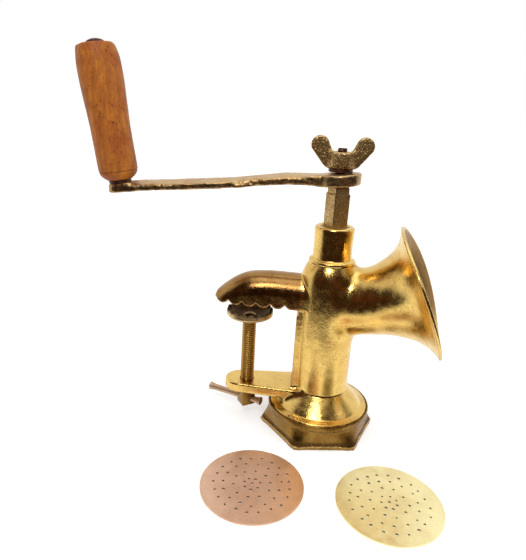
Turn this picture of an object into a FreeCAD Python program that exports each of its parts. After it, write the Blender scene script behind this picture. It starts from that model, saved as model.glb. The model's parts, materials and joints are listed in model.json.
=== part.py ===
import FreeCAD, Part
import math
import os
import re

import Sketcher

# Hand-cranked string-hopper press of cast brass, clamped to a table edge.
# Frame: the barrel's axis is Z, the floor that the ring nut stands on is z = 0,
# and +X points away from the clamp. Millimetres and degrees throughout.

SIZES = {
    # Fits and gaps
    "seat_gap": 0.15,
    "running_gap": 0.05,
    "loose_gap": 0.4,
    # Perforated discs
    "disc_radius": 35.0,
    "disc_thickness": 1.0,
    "disc_hole_radius": 0.65,
    "coarse_hole_radius": 0.85,
    "inner_ring_radius": 5.6,
    "second_ring_radius": 12.4,
    "third_ring_radius": 19.6,
    "outer_ring_radius": 25.7,
    "left_disc_x": -44.1,
    "left_disc_y": -82.9,
    "right_disc_x": 46.2,
    "right_disc_y": -87.0,
    # Ring nut
    "nut_corner_radius": 45.8,
    "nut_turn": 7.8,
    "nut_height": 20.0,
    "nut_edge_height": 3.5,
    "nut_collar_radius": 39.9,
    "nut_sweep_height": 8.5,
    "outlet_radius": 29.5,
    "lip_thickness": 3.5,
    # Barrel casting
    "thread_radius": 37.1,
    "thread_gap": 0.1,
    "thread_length": 11.7,
    "flange_radius": 38.5,
    "flange_height": 4.0,
    "dome_inset": 1.6,
    "dome_height": 10.0,
    "tube_radius": 21.5,
    "tube_wall": 3.2,
    "barrel_length": 119.2,
    "shoulder_radius": 16.6,
    "shoulder_height": 13.5,
    "step_height": 1.2,
    "neck_radius": 14.5,
    "neck_length": 24.3,
    "neck_rounding": 2.0,
    "roof_thickness": 1.0,
    "chamber_radius": 31.0,
    "chamber_depth": 4.0,
    "chamber_cone_height": 17.0,
    # Horn hopper
    "horn_turn": -11.0,
    "horn_rise": 19.2,
    "horn_height": 93.5,
    "horn_start": 9.0,
    "horn_neck_reach": 30.0,
    "horn_waist_reach": 44.0,
    "horn_flare_reach": 57.0,
    "horn_bell_reach": 66.8,
    "horn_mouth_reach": 72.5,
    "horn_root_radius": 21.5,
    "horn_neck_radius": 24.5,
    "horn_waist_radius": 27.0,
    "horn_flare_radius": 32.5,
    "horn_bell_radius": 40.0,
    "horn_mouth_radius": 49.0,
    "horn_mouth_tilt": 23.6,
    "horn_wall": 3.0,
    "horn_lip": 2.2,
    # Clamp jaw and lug
    "throat_height": 66.5,
    "jaw_reach": 86.0,
    "jaw_half_width": 15.0,
    "jaw_rise": 24.4,
    "jaw_wall": 3.5,
    "jaw_tip_half_width": 5.0,
    "jaw_tip_rise": 6.0,
    "jaw_brow_reach": 68.0,
    "jaw_brow_half_width": 13.5,
    "jaw_brow_rise": 18.0,
    "serration_pitch": 12.0,
    "serration_radius": 4.0,
    "serration_depth": 2.2,
    "lug_rise": 29.2,
    "lug_thickness": 8.0,
    "lug_tip_radius": 12.0,
    "lug_tip_reach": 64.0,
    "lug_root_half_width": 17.0,
    # Clamp screw, pad and bar
    "screw_reach": 58.6,
    "screw_radius": 5.5,
    "screw_pitch": 1.814,
    "screw_thread_depth": 0.75,
    "pad_rise": 51.0,
    "pad_radius": 18.0,
    "pad_height": 9.5,
    "pad_rim_height": 5.2,
    "pad_rim_wall": 2.2,
    "pad_floor": 3.4,
    "pad_hub_radius": 9.0,
    "pad_tooth_depth": 1.6,
    "screw_neck_radius": 3.6,
    "rivet_radius": 5.6,
    "rivet_height": 2.0,
    "rivet_flat": 1.2,
    "block_side": 11.6,
    "block_height": 14.9,
    "block_gap": 0.3,
    "bar_radius": 2.6,
    "bar_below_lug": 10.4,
    "bar_turn": 158.5,
    "bar_long_end": 34.5,
    "bar_short_end": 14.0,
    "bar_flare_radius": 3.5,
    "bar_flare_length": 5.0,
    # Feed worm
    "journal_radius": 10.0,
    "worm_core_radius": 8.5,
    "worm_root_radius": 12.0,
    "worm_head_height": 4.0,
    "worm_head_gap": 0.4,
    "flight_pitch": 24.0,
    "flight_thickness": 4.0,
    "tail_length": 12.0,
    "tail_radius": 4.0,
    "thrust_thickness": 1.6,
    "square_side": 12.8,
    "square_length": 23.0,
    "square_turn": 30.0,
    "collar_side": 11.4,
    "collar_length": 5.4,
    "spigot_side": 10.6,
    "stud_radius": 3.5,
    "stud_depth": 16.0,
    "stud_height": 17.0,
    # Crank arm
    "eye_radius": 15.0,
    "eye_thickness": 8.6,
    "arm_thickness": 7.0,
    "arm_radius": 157.5,
    "arm_end_radius": 9.0,
    "arm_width": 18.0,
    "arm_end_width": 15.0,
    "eye_tilt": 5.5,
    "arm_root_reach": 17.0,
    "arm_bend_reach": 42.0,
    "arm_bend_drop": 2.9,
    "arm_sag_reach": 80.0,
    "arm_sag_drop": 8.3,
    "arm_heel_reach": 148.5,
    "arm_heel_drop": 14.5,
    "arm_lean": 8.6,
    # Washer and wing nut on the stud
    "spacer_radius": 8.5,
    "spacer_thickness": 2.6,
    "wing_hub_radius": 10.6,
    "wing_hub_top_radius": 9.4,
    "wing_hub_height": 10.8,
    "wing_root_reach": 10.2,
    "wing_root_height": 4.8,
    "wing_tip_reach": 15.9,
    "wing_tip_height": 15.2,
    "wing_half_width": 5.8,
    "wing_thickness": 5.0,
    # Handle
    "spindle_radius": 3.5,
    "grip_length": 90.0,
    "grip_foot_radius": 9.0,
    "grip_foot_height": 4.0,
    "grip_heel_radius": 13.6,
    "grip_hip_radius": 13.9,
    "grip_hip_height": 22.0,
    "grip_belly_radius": 14.5,
    "grip_belly_height": 48.0,
    "grip_shoulder_radius": 14.3,
    "grip_shoulder_height": 83.5,
    "grip_top_radius": 12.0,
    "grip_heel_bulge": 0.4,
    "grip_waist_bulge": 0.25,
    "grip_belly_bulge": 0.7,
    "grip_crown_bulge": 0.9,
    "foot_washer_radius": 8.0,
    "foot_washer_thickness": 2.0,
    "top_washer_radius": 6.6,
    "top_washer_thickness": 1.0,
    "rivet_head_radius": 5.2,
    "rivet_head_height": 2.2,
}

doc = FreeCAD.newDocument("StringHopperPress")
sheet = doc.addObject("Spreadsheet::Sheet", "Sizes")
for row, (alias, number) in enumerate(SIZES.items(), start=1):
    sheet.set(f"A{row}", alias)
    sheet.set(f"B{row}", str(number))
    sheet.setAlias(f"B{row}", alias)
doc.recompute()

# Heights and places that follow from the sizes, as text that the sheet works out
OUTLET_FACE = "(lip_thickness + disc_thickness + 2 * seat_gap)"
FLANGE_FOOT = f"({OUTLET_FACE} + thread_length)"
FLANGE_TOP = f"({FLANGE_FOOT} + flange_height)"
DOME_TOP = f"({FLANGE_TOP} + dome_height)"
TUBE_TOP = f"({OUTLET_FACE} + barrel_length)"
SHOULDER_TOP = f"({TUBE_TOP} + shoulder_height)"
NECK_FOOT = f"({SHOULDER_TOP} + step_height)"
NECK_TOP = f"({NECK_FOOT} + neck_length)"
BORE_RADIUS = "(tube_radius - tube_wall)"
ROOF = f"({TUBE_TOP} - roof_thickness)"
LUG_TOP = f"({OUTLET_FACE} + lug_rise)"
LUG_FOOT = f"({LUG_TOP} - lug_thickness)"
JAW_FOOT = f"({LUG_TOP} + throat_height)"
PAD_FOOT = f"({LUG_TOP} + pad_rise)"
PAD_DISH = f"({PAD_FOOT} + pad_floor)"
BLOCK_TOP = f"({LUG_FOOT} - block_gap)"
BAR_HEIGHT = f"({LUG_FOOT} - bar_below_lug)"
WORM_TOP = f"({ROOF} - thrust_thickness - worm_head_gap)"
SQUARE_FOOT = f"({NECK_TOP} - 1)"
COLLAR_FOOT = f"({NECK_TOP} + square_length)"
EYE_FOOT = f"({COLLAR_FOOT} + collar_length)"
EYE_TOP = f"({EYE_FOOT} + eye_thickness)"
SPACER_FOOT = f"({EYE_TOP} + spacer_radius * tan(eye_tilt * 1deg) + seat_gap)"
WING_FOOT = f"({SPACER_FOOT} + spacer_thickness + seat_gap)"
SHAFT_SEAT = f"({EYE_FOOT} - collar_side / sqrt(2) * tan(eye_tilt * 1deg))"
ROOT_TOP = f"({EYE_TOP} - arm_root_reach * tan(eye_tilt * 1deg))"
PIVOT_TOP = f"({EYE_TOP} - arm_heel_drop - (arm_radius - arm_heel_reach) * tan(arm_lean * 1deg))"


def bound(expression):
    """The same expression with each size's name pointing at the sheet."""
    def at_sheet(found):
        name = found.group()
        return "Sizes." + name if name in SIZES else name

    return re.sub(r"\b[a-z][a-z_]+\b", at_sheet, expression)


def value(expression):
    """The number that an expression gives now."""
    return float(sheet.evalExpression(bound(str(expression))))


def bind(obj, **expressions):
    """Bind properties to expressions; a double underscore in a name stands for a dot."""
    for name, expression in expressions.items():
        obj.setExpression(name.replace("__", "."), bound(str(expression)))


def place(obj, x="0", y="0", z="0", turn=None, axis=(0, 0, 1)):
    """Put an object at bound coordinates, turned by a bound angle about an axis."""
    angle = 0 if turn is None else value(turn)
    spot = FreeCAD.Vector(value(x), value(y), value(z))
    obj.Placement = FreeCAD.Placement(spot, FreeCAD.Rotation(FreeCAD.Vector(*axis), angle))
    for letter, expression in zip("xyz", (x, y, z)):
        if expression != "0":
            obj.setExpression(f"Placement.Base.{letter}", bound(expression))
    if turn is not None:
        obj.setExpression("Placement.Rotation.Angle", bound(turn))
    return obj


def label(obj, name):
    """Give an object its name as a sub-part."""
    obj.Label = name
    return obj


def new_body(name):
    return doc.addObject("PartDesign::Body", name)


def new_sketch(body, name, role="XZ_Plane", offset=None):
    """An empty sketch on one of the body's origin planes, moved along its normal."""
    sketch = body.newObject("Sketcher::SketchObject", name)
    plane = next(feature for feature in body.Origin.OriginFeatures if feature.Role == role)
    sketch.AttachmentSupport = [(plane, "")]
    sketch.MapMode = "FlatFace"
    if offset is not None:
        sketch.setExpression("AttachmentOffset.Base.z", bound(offset))
    return sketch


def pin_point(sketch, geometry, point, x, y):
    """Fix one point of a sketch at bound coordinates."""
    for kind, expression, across in (("DistanceX", x, -2), ("DistanceY", y, -1)):
        if expression == "0":
            sketch.addConstraint(Sketcher.Constraint("PointOnObject", geometry, point, across))
            continue
        index = sketch.addConstraint(Sketcher.Constraint(kind, geometry, point, value(expression)))
        sketch.setExpression(f"Constraints[{index}]", bound(expression))


def draw_outline(sketch, steps):
    """A closed outline from steps (x, y) for a straight side and (x, y, bulge) for an arc.

    Each step gives the end of its side. The outline closes on its first point, and a
    positive bulge is an arc's height to the right of the way it runs.
    """
    for index, step in enumerate(steps):
        before = steps[index - 1]
        start = FreeCAD.Vector(value(before[0]), value(before[1]), 0)
        end = FreeCAD.Vector(value(step[0]), value(step[1]), 0)
        if len(step) == 2:
            sketch.addGeometry(Part.LineSegment(start, end))
            continue
        sketch.addGeometry(bulged_arc(start, end, value(step[2])))
    for index, step in enumerate(steps):
        pin_point(sketch, index, point_at(sketch, index, step), step[0], step[1])
    for index, step in enumerate(steps):
        following = (index + 1) % len(steps)
        end_point = point_at(sketch, index, steps[index])
        start_point = 3 - point_at(sketch, following, steps[following])
        sketch.addConstraint(Sketcher.Constraint("Coincident", index, end_point, following, start_point))
        if len(step) == 3:
            pin_centre(sketch, index, steps[index - 1], step)


def bulged_arc(start, end, height):
    """The arc between two points that stands a height out to the right of its run."""
    run = end - start
    side = FreeCAD.Vector(run.y, -run.x, 0).normalize()
    radius = (run.Length ** 2 / 4 + height ** 2) / (2 * height)
    centre = (start + end) * 0.5 + side * (height - radius)
    first, last = (start, end) if height > 0 else (end, start)
    angles = [math.atan2(point.y - centre.y, point.x - centre.x) for point in (first, last)]
    return Part.ArcOfCircle(Part.Circle(centre, FreeCAD.Vector(0, 0, 1), abs(radius)), *angles)


def pin_centre(sketch, index, before, step):
    """Fix an arc's centre across its chord, from its two ends and its bulge."""
    run_x = f"(({step[0]}) - ({before[0]}))"
    run_y = f"(({step[1]}) - ({before[1]}))"
    chord = f"sqrt({run_x}^2 + {run_y}^2)"
    offset = f"((({step[2]})^2 - {chord}^2 / 4) / (2 * ({step[2]})))"
    if abs(value(run_x)) > abs(value(run_y)):
        kind = "DistanceY"
        across = -1
        expression = f"(({step[1]}) + ({before[1]})) / 2 - {run_x} / {chord} * {offset}"
    else:
        kind = "DistanceX"
        across = -2
        expression = f"(({step[0]}) + ({before[0]})) / 2 + {run_y} / {chord} * {offset}"
    if abs(value(expression)) < 1e-9:
        sketch.addConstraint(Sketcher.Constraint("PointOnObject", index, 3, across))
        return
    row = sketch.addConstraint(Sketcher.Constraint(kind, index, 3, value(expression)))
    sketch.setExpression(f"Constraints[{row}]", bound(expression))


def point_at(sketch, index, step):
    """Which end of a side (1 or 2) lies at the step's own point."""
    end = FreeCAD.Vector(value(step[0]), value(step[1]), 0)
    side = sketch.Geometry[index]
    return 2 if side.EndPoint.distanceToPoint(end) < side.StartPoint.distanceToPoint(end) else 1


def draw_circle(sketch, x, y, radius):
    """A circle at bound coordinates with a bound radius."""
    centre = FreeCAD.Vector(value(x), value(y), 0)
    index = sketch.addGeometry(Part.Circle(centre, FreeCAD.Vector(0, 0, 1), value(radius)))
    pin_point(sketch, index, 3, x, y)
    row = sketch.addConstraint(Sketcher.Constraint("Radius", index, value(radius)))
    sketch.setExpression(f"Constraints[{row}]", bound(radius))
    return index


def draw_slot(sketch, start, end, radius):
    """A slot outline between two bound centres, round at both ends."""
    first = FreeCAD.Vector(value(start[0]), value(start[1]), 0)
    second = FreeCAD.Vector(value(end[0]), value(end[1]), 0)
    along = (second - first).normalize()
    side = FreeCAD.Vector(-along.y, along.x, 0) * value(radius)
    reach = along * value(radius)
    sketch.addGeometry(Part.LineSegment(first - side, second - side))
    sketch.addGeometry(Part.Arc(second - side, second + reach, second + side))
    sketch.addGeometry(Part.LineSegment(second + side, first + side))
    sketch.addGeometry(Part.Arc(first + side, first - reach, first - side))
    for index, spot in ((1, end), (3, start)):
        pin_point(sketch, index, 3, spot[0], spot[1])
    row = sketch.addConstraint(Sketcher.Constraint("Radius", 1, value(radius)))
    sketch.setExpression(f"Constraints[{row}]", bound(radius))
    sketch.addConstraint(Sketcher.Constraint("Equal", 1, 3))
    for line, arc, line_end, arc_end in ((0, 1, 2, 1), (2, 1, 1, 2), (2, 3, 2, 1), (0, 3, 1, 2)):
        sketch.addConstraint(Sketcher.Constraint("Tangent", line, line_end, arc, arc_end))


def turned_body(name, steps):
    """A body turned about its Z axis from an outline of (radius, height) steps."""
    body = new_body(name)
    sketch = new_sketch(body, name + "_outline")
    draw_outline(sketch, steps)
    turning = body.newObject("PartDesign::Revolution", name + "_turning")
    turning.Profile = sketch
    turning.ReferenceAxis = (sketch, ["V_Axis"])
    turning.Angle = 360
    sketch.Visibility = False
    return body


def pad(body, sketch, length, both_ways=False, name=None):
    """Extrude a sketch by a bound length."""
    feature = body.newObject("PartDesign::Pad", name or sketch.Name + "_pad")
    feature.Profile = sketch
    feature.setExpression("Length", bound(length))
    feature.Midplane = both_ways
    return feature


def pocket(body, sketch, length=None, both_ways=False, name=None):
    """Cut a sketch out of a body, through everything where no length is given."""
    feature = body.newObject("PartDesign::Pocket", name or sketch.Name + "_pocket")
    feature.Profile = sketch
    if length is None:
        feature.Type = 1
    else:
        feature.setExpression("Length", bound(length))
    feature.Midplane = both_ways
    return feature


def polar(body, feature, count, name):
    """Repeat a feature round the body's Z axis."""
    pattern = body.newObject("PartDesign::PolarPattern", name)
    pattern.Originals = [feature]
    axis = next(item for item in body.Origin.OriginFeatures if item.Role == "Z_Axis")
    pattern.Axis = (axis, [""])
    pattern.Angle = 360
    pattern.Occurrences = count
    body.Tip = pattern
    return pattern


def cut(name, base, tool):
    result = doc.addObject("Part::Cut", name)
    result.Base = base
    result.Tool = tool
    return result


def fuse(name, shapes):
    result = doc.addObject("Part::MultiFuse", name)
    result.Shapes = shapes
    return result


def common(name, shapes):
    result = doc.addObject("Part::MultiCommon", name)
    result.Shapes = shapes
    return result


def cylinder(name, radius, height, x="0", y="0", z="0"):
    rod = doc.addObject("Part::Cylinder", name)
    bind(rod, Radius=radius, Height=height)
    return place(rod, x, y, z)


def square_bar(name, side, height, z, turn):
    """An upright square bar centred on the Z axis."""
    body = new_body(name)
    sketch = new_sketch(body, name + "_section", "XY_Plane")
    half = f"({side}) / 2"
    other = f"-({side}) / 2"
    draw_outline(sketch, [(half, half), (other, half), (other, other), (half, other)])
    pad(body, sketch, height)
    return place(body, z=z, turn=turn)


# Barrel casting: outlet flange, tube, shoulder and neck, turned about the axis
envelope = turned_body("barrel_envelope", [
    ("0", OUTLET_FACE),
    ("thread_radius", OUTLET_FACE),
    ("thread_radius", FLANGE_FOOT),
    ("flange_radius", FLANGE_FOOT),
    ("flange_radius", FLANGE_TOP),
    ("flange_radius - dome_inset", FLANGE_TOP),
    ("tube_radius", DOME_TOP, "2.4"),
    ("tube_radius", TUBE_TOP),
    ("shoulder_radius", SHOULDER_TOP, "0.6"),
    ("shoulder_radius", NECK_FOOT),
    ("neck_radius", NECK_FOOT),
    ("neck_radius", f"{NECK_TOP} - neck_rounding"),
    ("neck_radius - neck_rounding", NECK_TOP, "neck_rounding * (1 - sqrt(0.5))"),
    ("0", NECK_TOP),
])
bore = turned_body("barrel_bore", [
    ("0", "-1"),
    ("chamber_radius", "-1"),
    ("chamber_radius", f"{OUTLET_FACE} + chamber_depth"),
    (BORE_RADIUS, f"{OUTLET_FACE} + chamber_depth + chamber_cone_height"),
    (BORE_RADIUS, ROOF),
    ("journal_radius + running_gap", ROOF),
    ("journal_radius + running_gap", f"{NECK_TOP} + 1"),
    ("0", f"{NECK_TOP} + 1"),
])

# Horn hopper: round sections along a rising line, tipped further up towards the mouth
HORN_STATIONS = (
    ("root", "horn_start", "horn_root_radius", "horn_rise"),
    ("neck", "horn_neck_reach", "horn_neck_radius", "horn_rise"),
    ("waist", "horn_waist_reach", "horn_waist_radius", "(3 * horn_rise + horn_mouth_tilt) / 4"),
    ("flare", "horn_flare_reach", "horn_flare_radius", "(horn_rise + horn_mouth_tilt) / 2"),
    ("bell", "horn_bell_reach", "horn_bell_radius", "(horn_rise + 3 * horn_mouth_tilt) / 4"),
    ("mouth", "horn_mouth_reach", "horn_mouth_radius", "horn_mouth_tilt"),
)


def horn_section(name, reach, radius, tilt):
    """One round section of the horn, square to its own rise."""
    ring = doc.addObject("Part::Circle", name)
    bind(ring, Radius=radius)
    level = f"({reach}) * cos(horn_rise * 1deg)"
    bind(
        ring,
        Placement__Base__x=f"{level} * cos(horn_turn * 1deg)",
        Placement__Base__y=f"{level} * sin(horn_turn * 1deg)",
        Placement__Base__z=f"horn_height + {OUTLET_FACE} + ({reach}) * sin(horn_rise * 1deg)",
        Placement__Rotation__Yaw="horn_turn",
        Placement__Rotation__Pitch=f"90 - ({tilt})",
    )
    return ring


def horn_loft(name, inset):
    """The horn's outer skin or, with an inset, its hollow."""
    rings = []
    for station, reach, radius, tilt in HORN_STATIONS:
        wall = "horn_lip" if station == "mouth" else "horn_wall"
        size = f"{radius} - {wall}" if inset else radius
        rings.append(horn_section(f"{name}_{station}", reach, size, tilt))
    if inset:
        past_rim = "horn_mouth_radius - horn_lip + 1"
        rings.append(horn_section(f"{name}_beyond", "horn_mouth_reach + 1", past_rim, "horn_mouth_tilt"))
    loft = doc.addObject("Part::Loft", name)
    loft.Sections = rings
    loft.Solid = True
    return loft


horn_skin = horn_loft("horn_skin", False)
horn_hollow = horn_loft("horn_hollow", True)

barrel_hollow = fuse("barrel_hollow", [bore, horn_hollow])
barrel_casting = label(cut("barrel", envelope, barrel_hollow), "barrel_casting")
horn_hopper = label(cut("horn", horn_skin, fuse("horn_cutters", [horn_hollow, envelope])), "horn_hopper")

# Clamp jaw: a hollow hood that curves down at its tip, with a wavy lower edge


def jaw_section(body, name, reach, half_width, rise, foot):
    """An arched section of the hood, standing across the X axis."""
    sketch = new_sketch(body, name, "YZ_Plane", f"-({reach})")
    spring_line = f"{foot} + ({rise}) - ({half_width})"
    draw_outline(sketch, [
        (f"-({half_width})", foot),
        (half_width, foot),
        (half_width, spring_line),
        (f"-({half_width})", spring_line, half_width),
    ])
    return sketch


JAW_STATIONS = (
    ("root", "tube_radius / 2", "jaw_half_width", "jaw_rise"),
    ("mid", "screw_reach - 6", "jaw_half_width", "jaw_rise"),
    ("brow", "jaw_brow_reach", "jaw_brow_half_width", "jaw_brow_rise"),
    ("tip", "jaw_reach", "jaw_tip_half_width", "jaw_tip_rise"),
)


def jaw_loft(name, inset):
    """The hood's outer form or, with an inset, its hollow."""
    body = new_body(name)
    sections = []
    for station, reach, half_width, rise in JAW_STATIONS:
        if inset:
            reach = f"({reach}) - jaw_wall" if station == "tip" else reach
            half_width = f"({half_width}) - jaw_wall"
            rise = f"({rise}) - jaw_wall + 2"
        foot = f"{JAW_FOOT} - 2" if inset else JAW_FOOT
        sections.append(jaw_section(body, f"{name}_{station}", reach, half_width, rise, foot))
    loft = body.newObject("PartDesign::AdditiveLoft", name + "_loft")
    loft.Profile = sections[0]
    loft.Sections = sections[1:]
    return body


jaw_form = jaw_loft("jaw_form", False)
jaw_hollow = jaw_loft("jaw_hollow", True)
SERRATION_COUNT = int((value("jaw_reach") - value("tube_radius")) / value("serration_pitch"))
waves = []
for number in range(SERRATION_COUNT):
    wave = doc.addObject("Part::Cylinder", f"jaw_wave_{number}")
    bind(wave, Radius="serration_radius", Height="2 * jaw_half_width + 4")
    along = f"-(tube_radius + serration_pitch * {number + 0.75})"
    drop = f"{JAW_FOOT} - serration_radius + serration_depth"
    place(wave, along, "jaw_half_width + 2", drop, "90", (1, 0, 0))
    waves.append(wave)
jaw_cutters = fuse("jaw_cutters", [jaw_hollow, envelope] + waves)
clamp_jaw = label(cut("jaw", jaw_form, jaw_cutters), "clamp_jaw")

# Clamp lug: a flat arm with a round tip and the clamp screw's threaded hole
lug_body = new_body("lug_form")
lug_sketch = new_sketch(lug_body, "lug_outline", "XY_Plane", LUG_FOOT)
draw_outline(lug_sketch, [
    ("-lug_tip_reach", "lug_tip_radius"),
    ("-lug_tip_reach", "-lug_tip_radius", "lug_tip_radius"),
    ("-tube_radius / 2", "-lug_root_half_width"),
    ("-tube_radius / 2", "lug_root_half_width"),
])
pad(lug_body, lug_sketch, "lug_thickness")
lug_hole = cylinder("lug_hole", "screw_radius + running_gap", "lug_thickness + 2")
place(lug_hole, "-screw_reach", "0", f"{LUG_FOOT} - 1")
clamp_lug = label(cut("lug", lug_body, fuse("lug_cutters", [lug_hole, envelope])), "clamp_lug")

# Clamp pad: a dished, toothed cap that swivels on the screw's riveted end
pad_body = turned_body("clamp_pad", [
    ("screw_neck_radius + running_gap", "0"),
    ("pad_hub_radius", "0"),
    ("pad_radius", "pad_height - pad_rim_height"),
    ("pad_radius", "pad_height"),
    ("pad_radius - pad_rim_wall", "pad_height"),
    ("rivet_radius + 3", "pad_floor"),
    ("screw_neck_radius + running_gap", "pad_floor"),
])
notch_sketch = new_sketch(pad_body, "pad_notch", "YZ_Plane")
draw_outline(notch_sketch, [
    ("-pad_tooth_depth", "pad_height + 0.5"),
    ("0", "pad_height - pad_tooth_depth"),
    ("pad_tooth_depth", "pad_height + 0.5"),
])
notch = pocket(pad_body, notch_sketch, "pad_radius + 1", name="pad_notch_cut")
notch.Reversed = True
polar(pad_body, notch, 16, "pad_notches")
place(pad_body, "-screw_reach", "0", PAD_FOOT)

# Clamp screw: a threaded rod with a square head below and a riveted neck above
thread_foot = BLOCK_TOP
thread_top = f"({PAD_FOOT} - seat_gap)"
TURNS = int((value(thread_top) - value(thread_foot)) / value("screw_pitch"))
screw_steps = [("0", thread_foot)]
for turn in range(TURNS):
    screw_steps.append(("screw_radius - screw_thread_depth", f"{thread_foot} + screw_pitch * {turn}"))
    screw_steps.append(("screw_radius", f"{thread_foot} + screw_pitch * {turn + 0.5}"))
screw_steps += [
    ("screw_radius - screw_thread_depth", f"{thread_foot} + screw_pitch * {TURNS}"),
    ("screw_radius - screw_thread_depth", thread_top),
    ("screw_neck_radius", thread_top),
    ("screw_neck_radius", f"{PAD_DISH} + seat_gap"),
    ("rivet_radius", f"{PAD_DISH} + seat_gap"),
    ("rivet_flat", f"{PAD_DISH} + seat_gap + rivet_height", "0.6"),
    ("0", f"{PAD_DISH} + seat_gap + rivet_height"),
]
screw_rod = turned_body("screw_rod", screw_steps)
place(screw_rod, "-screw_reach")
BLOCK_FOOT = f"{BLOCK_TOP} - block_height"
screw_block = square_bar("screw_block", "block_side", "block_height", BLOCK_FOOT, "bar_turn")
bind(screw_block, Placement__Base__x="-screw_reach")
bar_hole = cylinder("bar_hole", "bar_radius + running_gap", "2 * block_side")
HOLE_START_X = "-screw_reach - block_side * cos(bar_turn * 1deg)"
HOLE_START_Y = "-block_side * sin(bar_turn * 1deg)"
place(bar_hole, HOLE_START_X, HOLE_START_Y, BAR_HEIGHT)
bind(bar_hole, Placement__Rotation__Yaw="bar_turn", Placement__Rotation__Pitch="90")
clamp_screw = label(cut("screw", fuse("screw_blank", [screw_rod, screw_block]), bar_hole), "clamp_screw")

# Tommy bar: a plain rod with spread ends, made along its own Z axis
tommy_bar = turned_body("tommy_bar", [
    ("0", "-bar_short_end"),
    ("bar_flare_radius", "-bar_short_end"),
    ("bar_radius", "-bar_short_end + bar_flare_length"),
    ("bar_radius", "bar_long_end - bar_flare_length"),
    ("bar_flare_radius", "bar_long_end"),
    ("0", "bar_long_end"),
])
place(tommy_bar, "-screw_reach", "0", BAR_HEIGHT)
bind(tommy_bar, Placement__Rotation__Yaw="bar_turn", Placement__Rotation__Pitch="90")

# Feed worm: tail, tapering core, one screw flight, head, journal and squared shaft
TAIL_TIP = f"({OUTLET_FACE} + seat_gap)"
CORE_FOOT = f"({TAIL_TIP} + tail_length)"
HEAD_FOOT = f"({WORM_TOP} - worm_head_height)"
worm_core = turned_body("worm_core", [
    ("0", TAIL_TIP),
    ("tail_radius", TAIL_TIP),
    ("worm_root_radius", CORE_FOOT),
    ("worm_core_radius", HEAD_FOOT),
    (f"{BORE_RADIUS} - loose_gap", HEAD_FOOT),
    (f"{BORE_RADIUS} - loose_gap", WORM_TOP),
    ("journal_radius", WORM_TOP),
    ("journal_radius", SQUARE_FOOT),
    ("0", SQUARE_FOOT),
])
flight_line = doc.addObject("Part::Helix", "flight_line")
FLIGHT_FOOT = f"({CORE_FOOT} + chamber_cone_height / 2)"
FLIGHT_LENGTH = f"({HEAD_FOOT} - {FLIGHT_FOOT} - flight_thickness)"
bind(flight_line, Pitch="flight_pitch", Height=FLIGHT_LENGTH, Radius=f"{BORE_RADIUS} - loose_gap")
place(flight_line, z=FLIGHT_FOOT)
flight_body = new_body("flight_section")
flight_sketch = new_sketch(flight_body, "flight_outline")
draw_outline(flight_sketch, [
    ("worm_core_radius - 3", FLIGHT_FOOT),
    (f"{BORE_RADIUS} - loose_gap", f"{FLIGHT_FOOT} + flight_thickness / 4"),
    (f"{BORE_RADIUS} - loose_gap", f"{FLIGHT_FOOT} + flight_thickness * 3 / 4"),
    ("worm_core_radius - 3", f"{FLIGHT_FOOT} + flight_thickness"),
])
flight = doc.addObject("Part::Sweep", "flight")
flight.Sections = [flight_sketch]
flight.Spine = (flight_line, [])
flight.Solid = True
flight.Frenet = True
SHAFT_RUN = f"{COLLAR_FOOT} - {SQUARE_FOOT}"
COLLAR_RUN = f"{SHAFT_SEAT} - {COLLAR_FOOT}"
SPIGOT_RUN = f"{EYE_TOP} - {SHAFT_SEAT} - seat_gap"
shaft = square_bar("shaft_square", "square_side", SHAFT_RUN, SQUARE_FOOT, "square_turn")
collar = square_bar("shaft_collar", "collar_side", COLLAR_RUN, COLLAR_FOOT, "square_turn")
spigot = square_bar("shaft_spigot", "spigot_side", SPIGOT_RUN, SHAFT_SEAT, "square_turn")
stud_hole = cylinder("stud_hole", "stud_radius", "stud_depth + 5", z=f"{EYE_TOP} - stud_depth")
worm_blank = fuse("worm_blank", [worm_core, flight, shaft, collar, spigot])
feed_worm = label(cut("worm", worm_blank, stud_hole), "feed_worm")

thrust_rim = cylinder("thrust_rim", f"{BORE_RADIUS} - loose_gap", "thrust_thickness")
place(thrust_rim, z=f"{WORM_TOP} + worm_head_gap / 2")
thrust_hole = cylinder("thrust_hole", "journal_radius + running_gap", "thrust_thickness + 2")
place(thrust_hole, z=f"{WORM_TOP} - 0.5")
thrust_washer = label(cut("thrust", thrust_rim, thrust_hole), "thrust_washer")

# Stud, spacer and wing nut
crank_stud = label(turned_body("stud", [
    ("0", f"{EYE_TOP} - stud_depth"),
    ("stud_radius", f"{EYE_TOP} - stud_depth"),
    ("stud_radius", f"{EYE_TOP} + stud_height - 1"),
    ("stud_radius - 1", f"{EYE_TOP} + stud_height"),
    ("0", f"{EYE_TOP} + stud_height"),
]), "crank_stud")
crank_washer = label(cut(
    "spacer",
    cylinder("spacer_rim", "spacer_radius", "spacer_thickness", z=SPACER_FOOT),
    cylinder("spacer_hole", "stud_radius + running_gap", "spacer_thickness + 2", z=f"{SPACER_FOOT} - 1"),
), "crank_washer")
wing_hub = turned_body("wing_hub", [
    ("0", WING_FOOT),
    ("wing_hub_radius - 0.8", WING_FOOT),
    ("wing_hub_radius", f"{WING_FOOT} + 1.5", "0.3"),
    ("wing_hub_top_radius", f"{WING_FOOT} + wing_hub_height - 1.5"),
    ("wing_hub_top_radius - 1.5", f"{WING_FOOT} + wing_hub_height", "0.5"),
    ("0", f"{WING_FOOT} + wing_hub_height"),
])
ears = []
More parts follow.
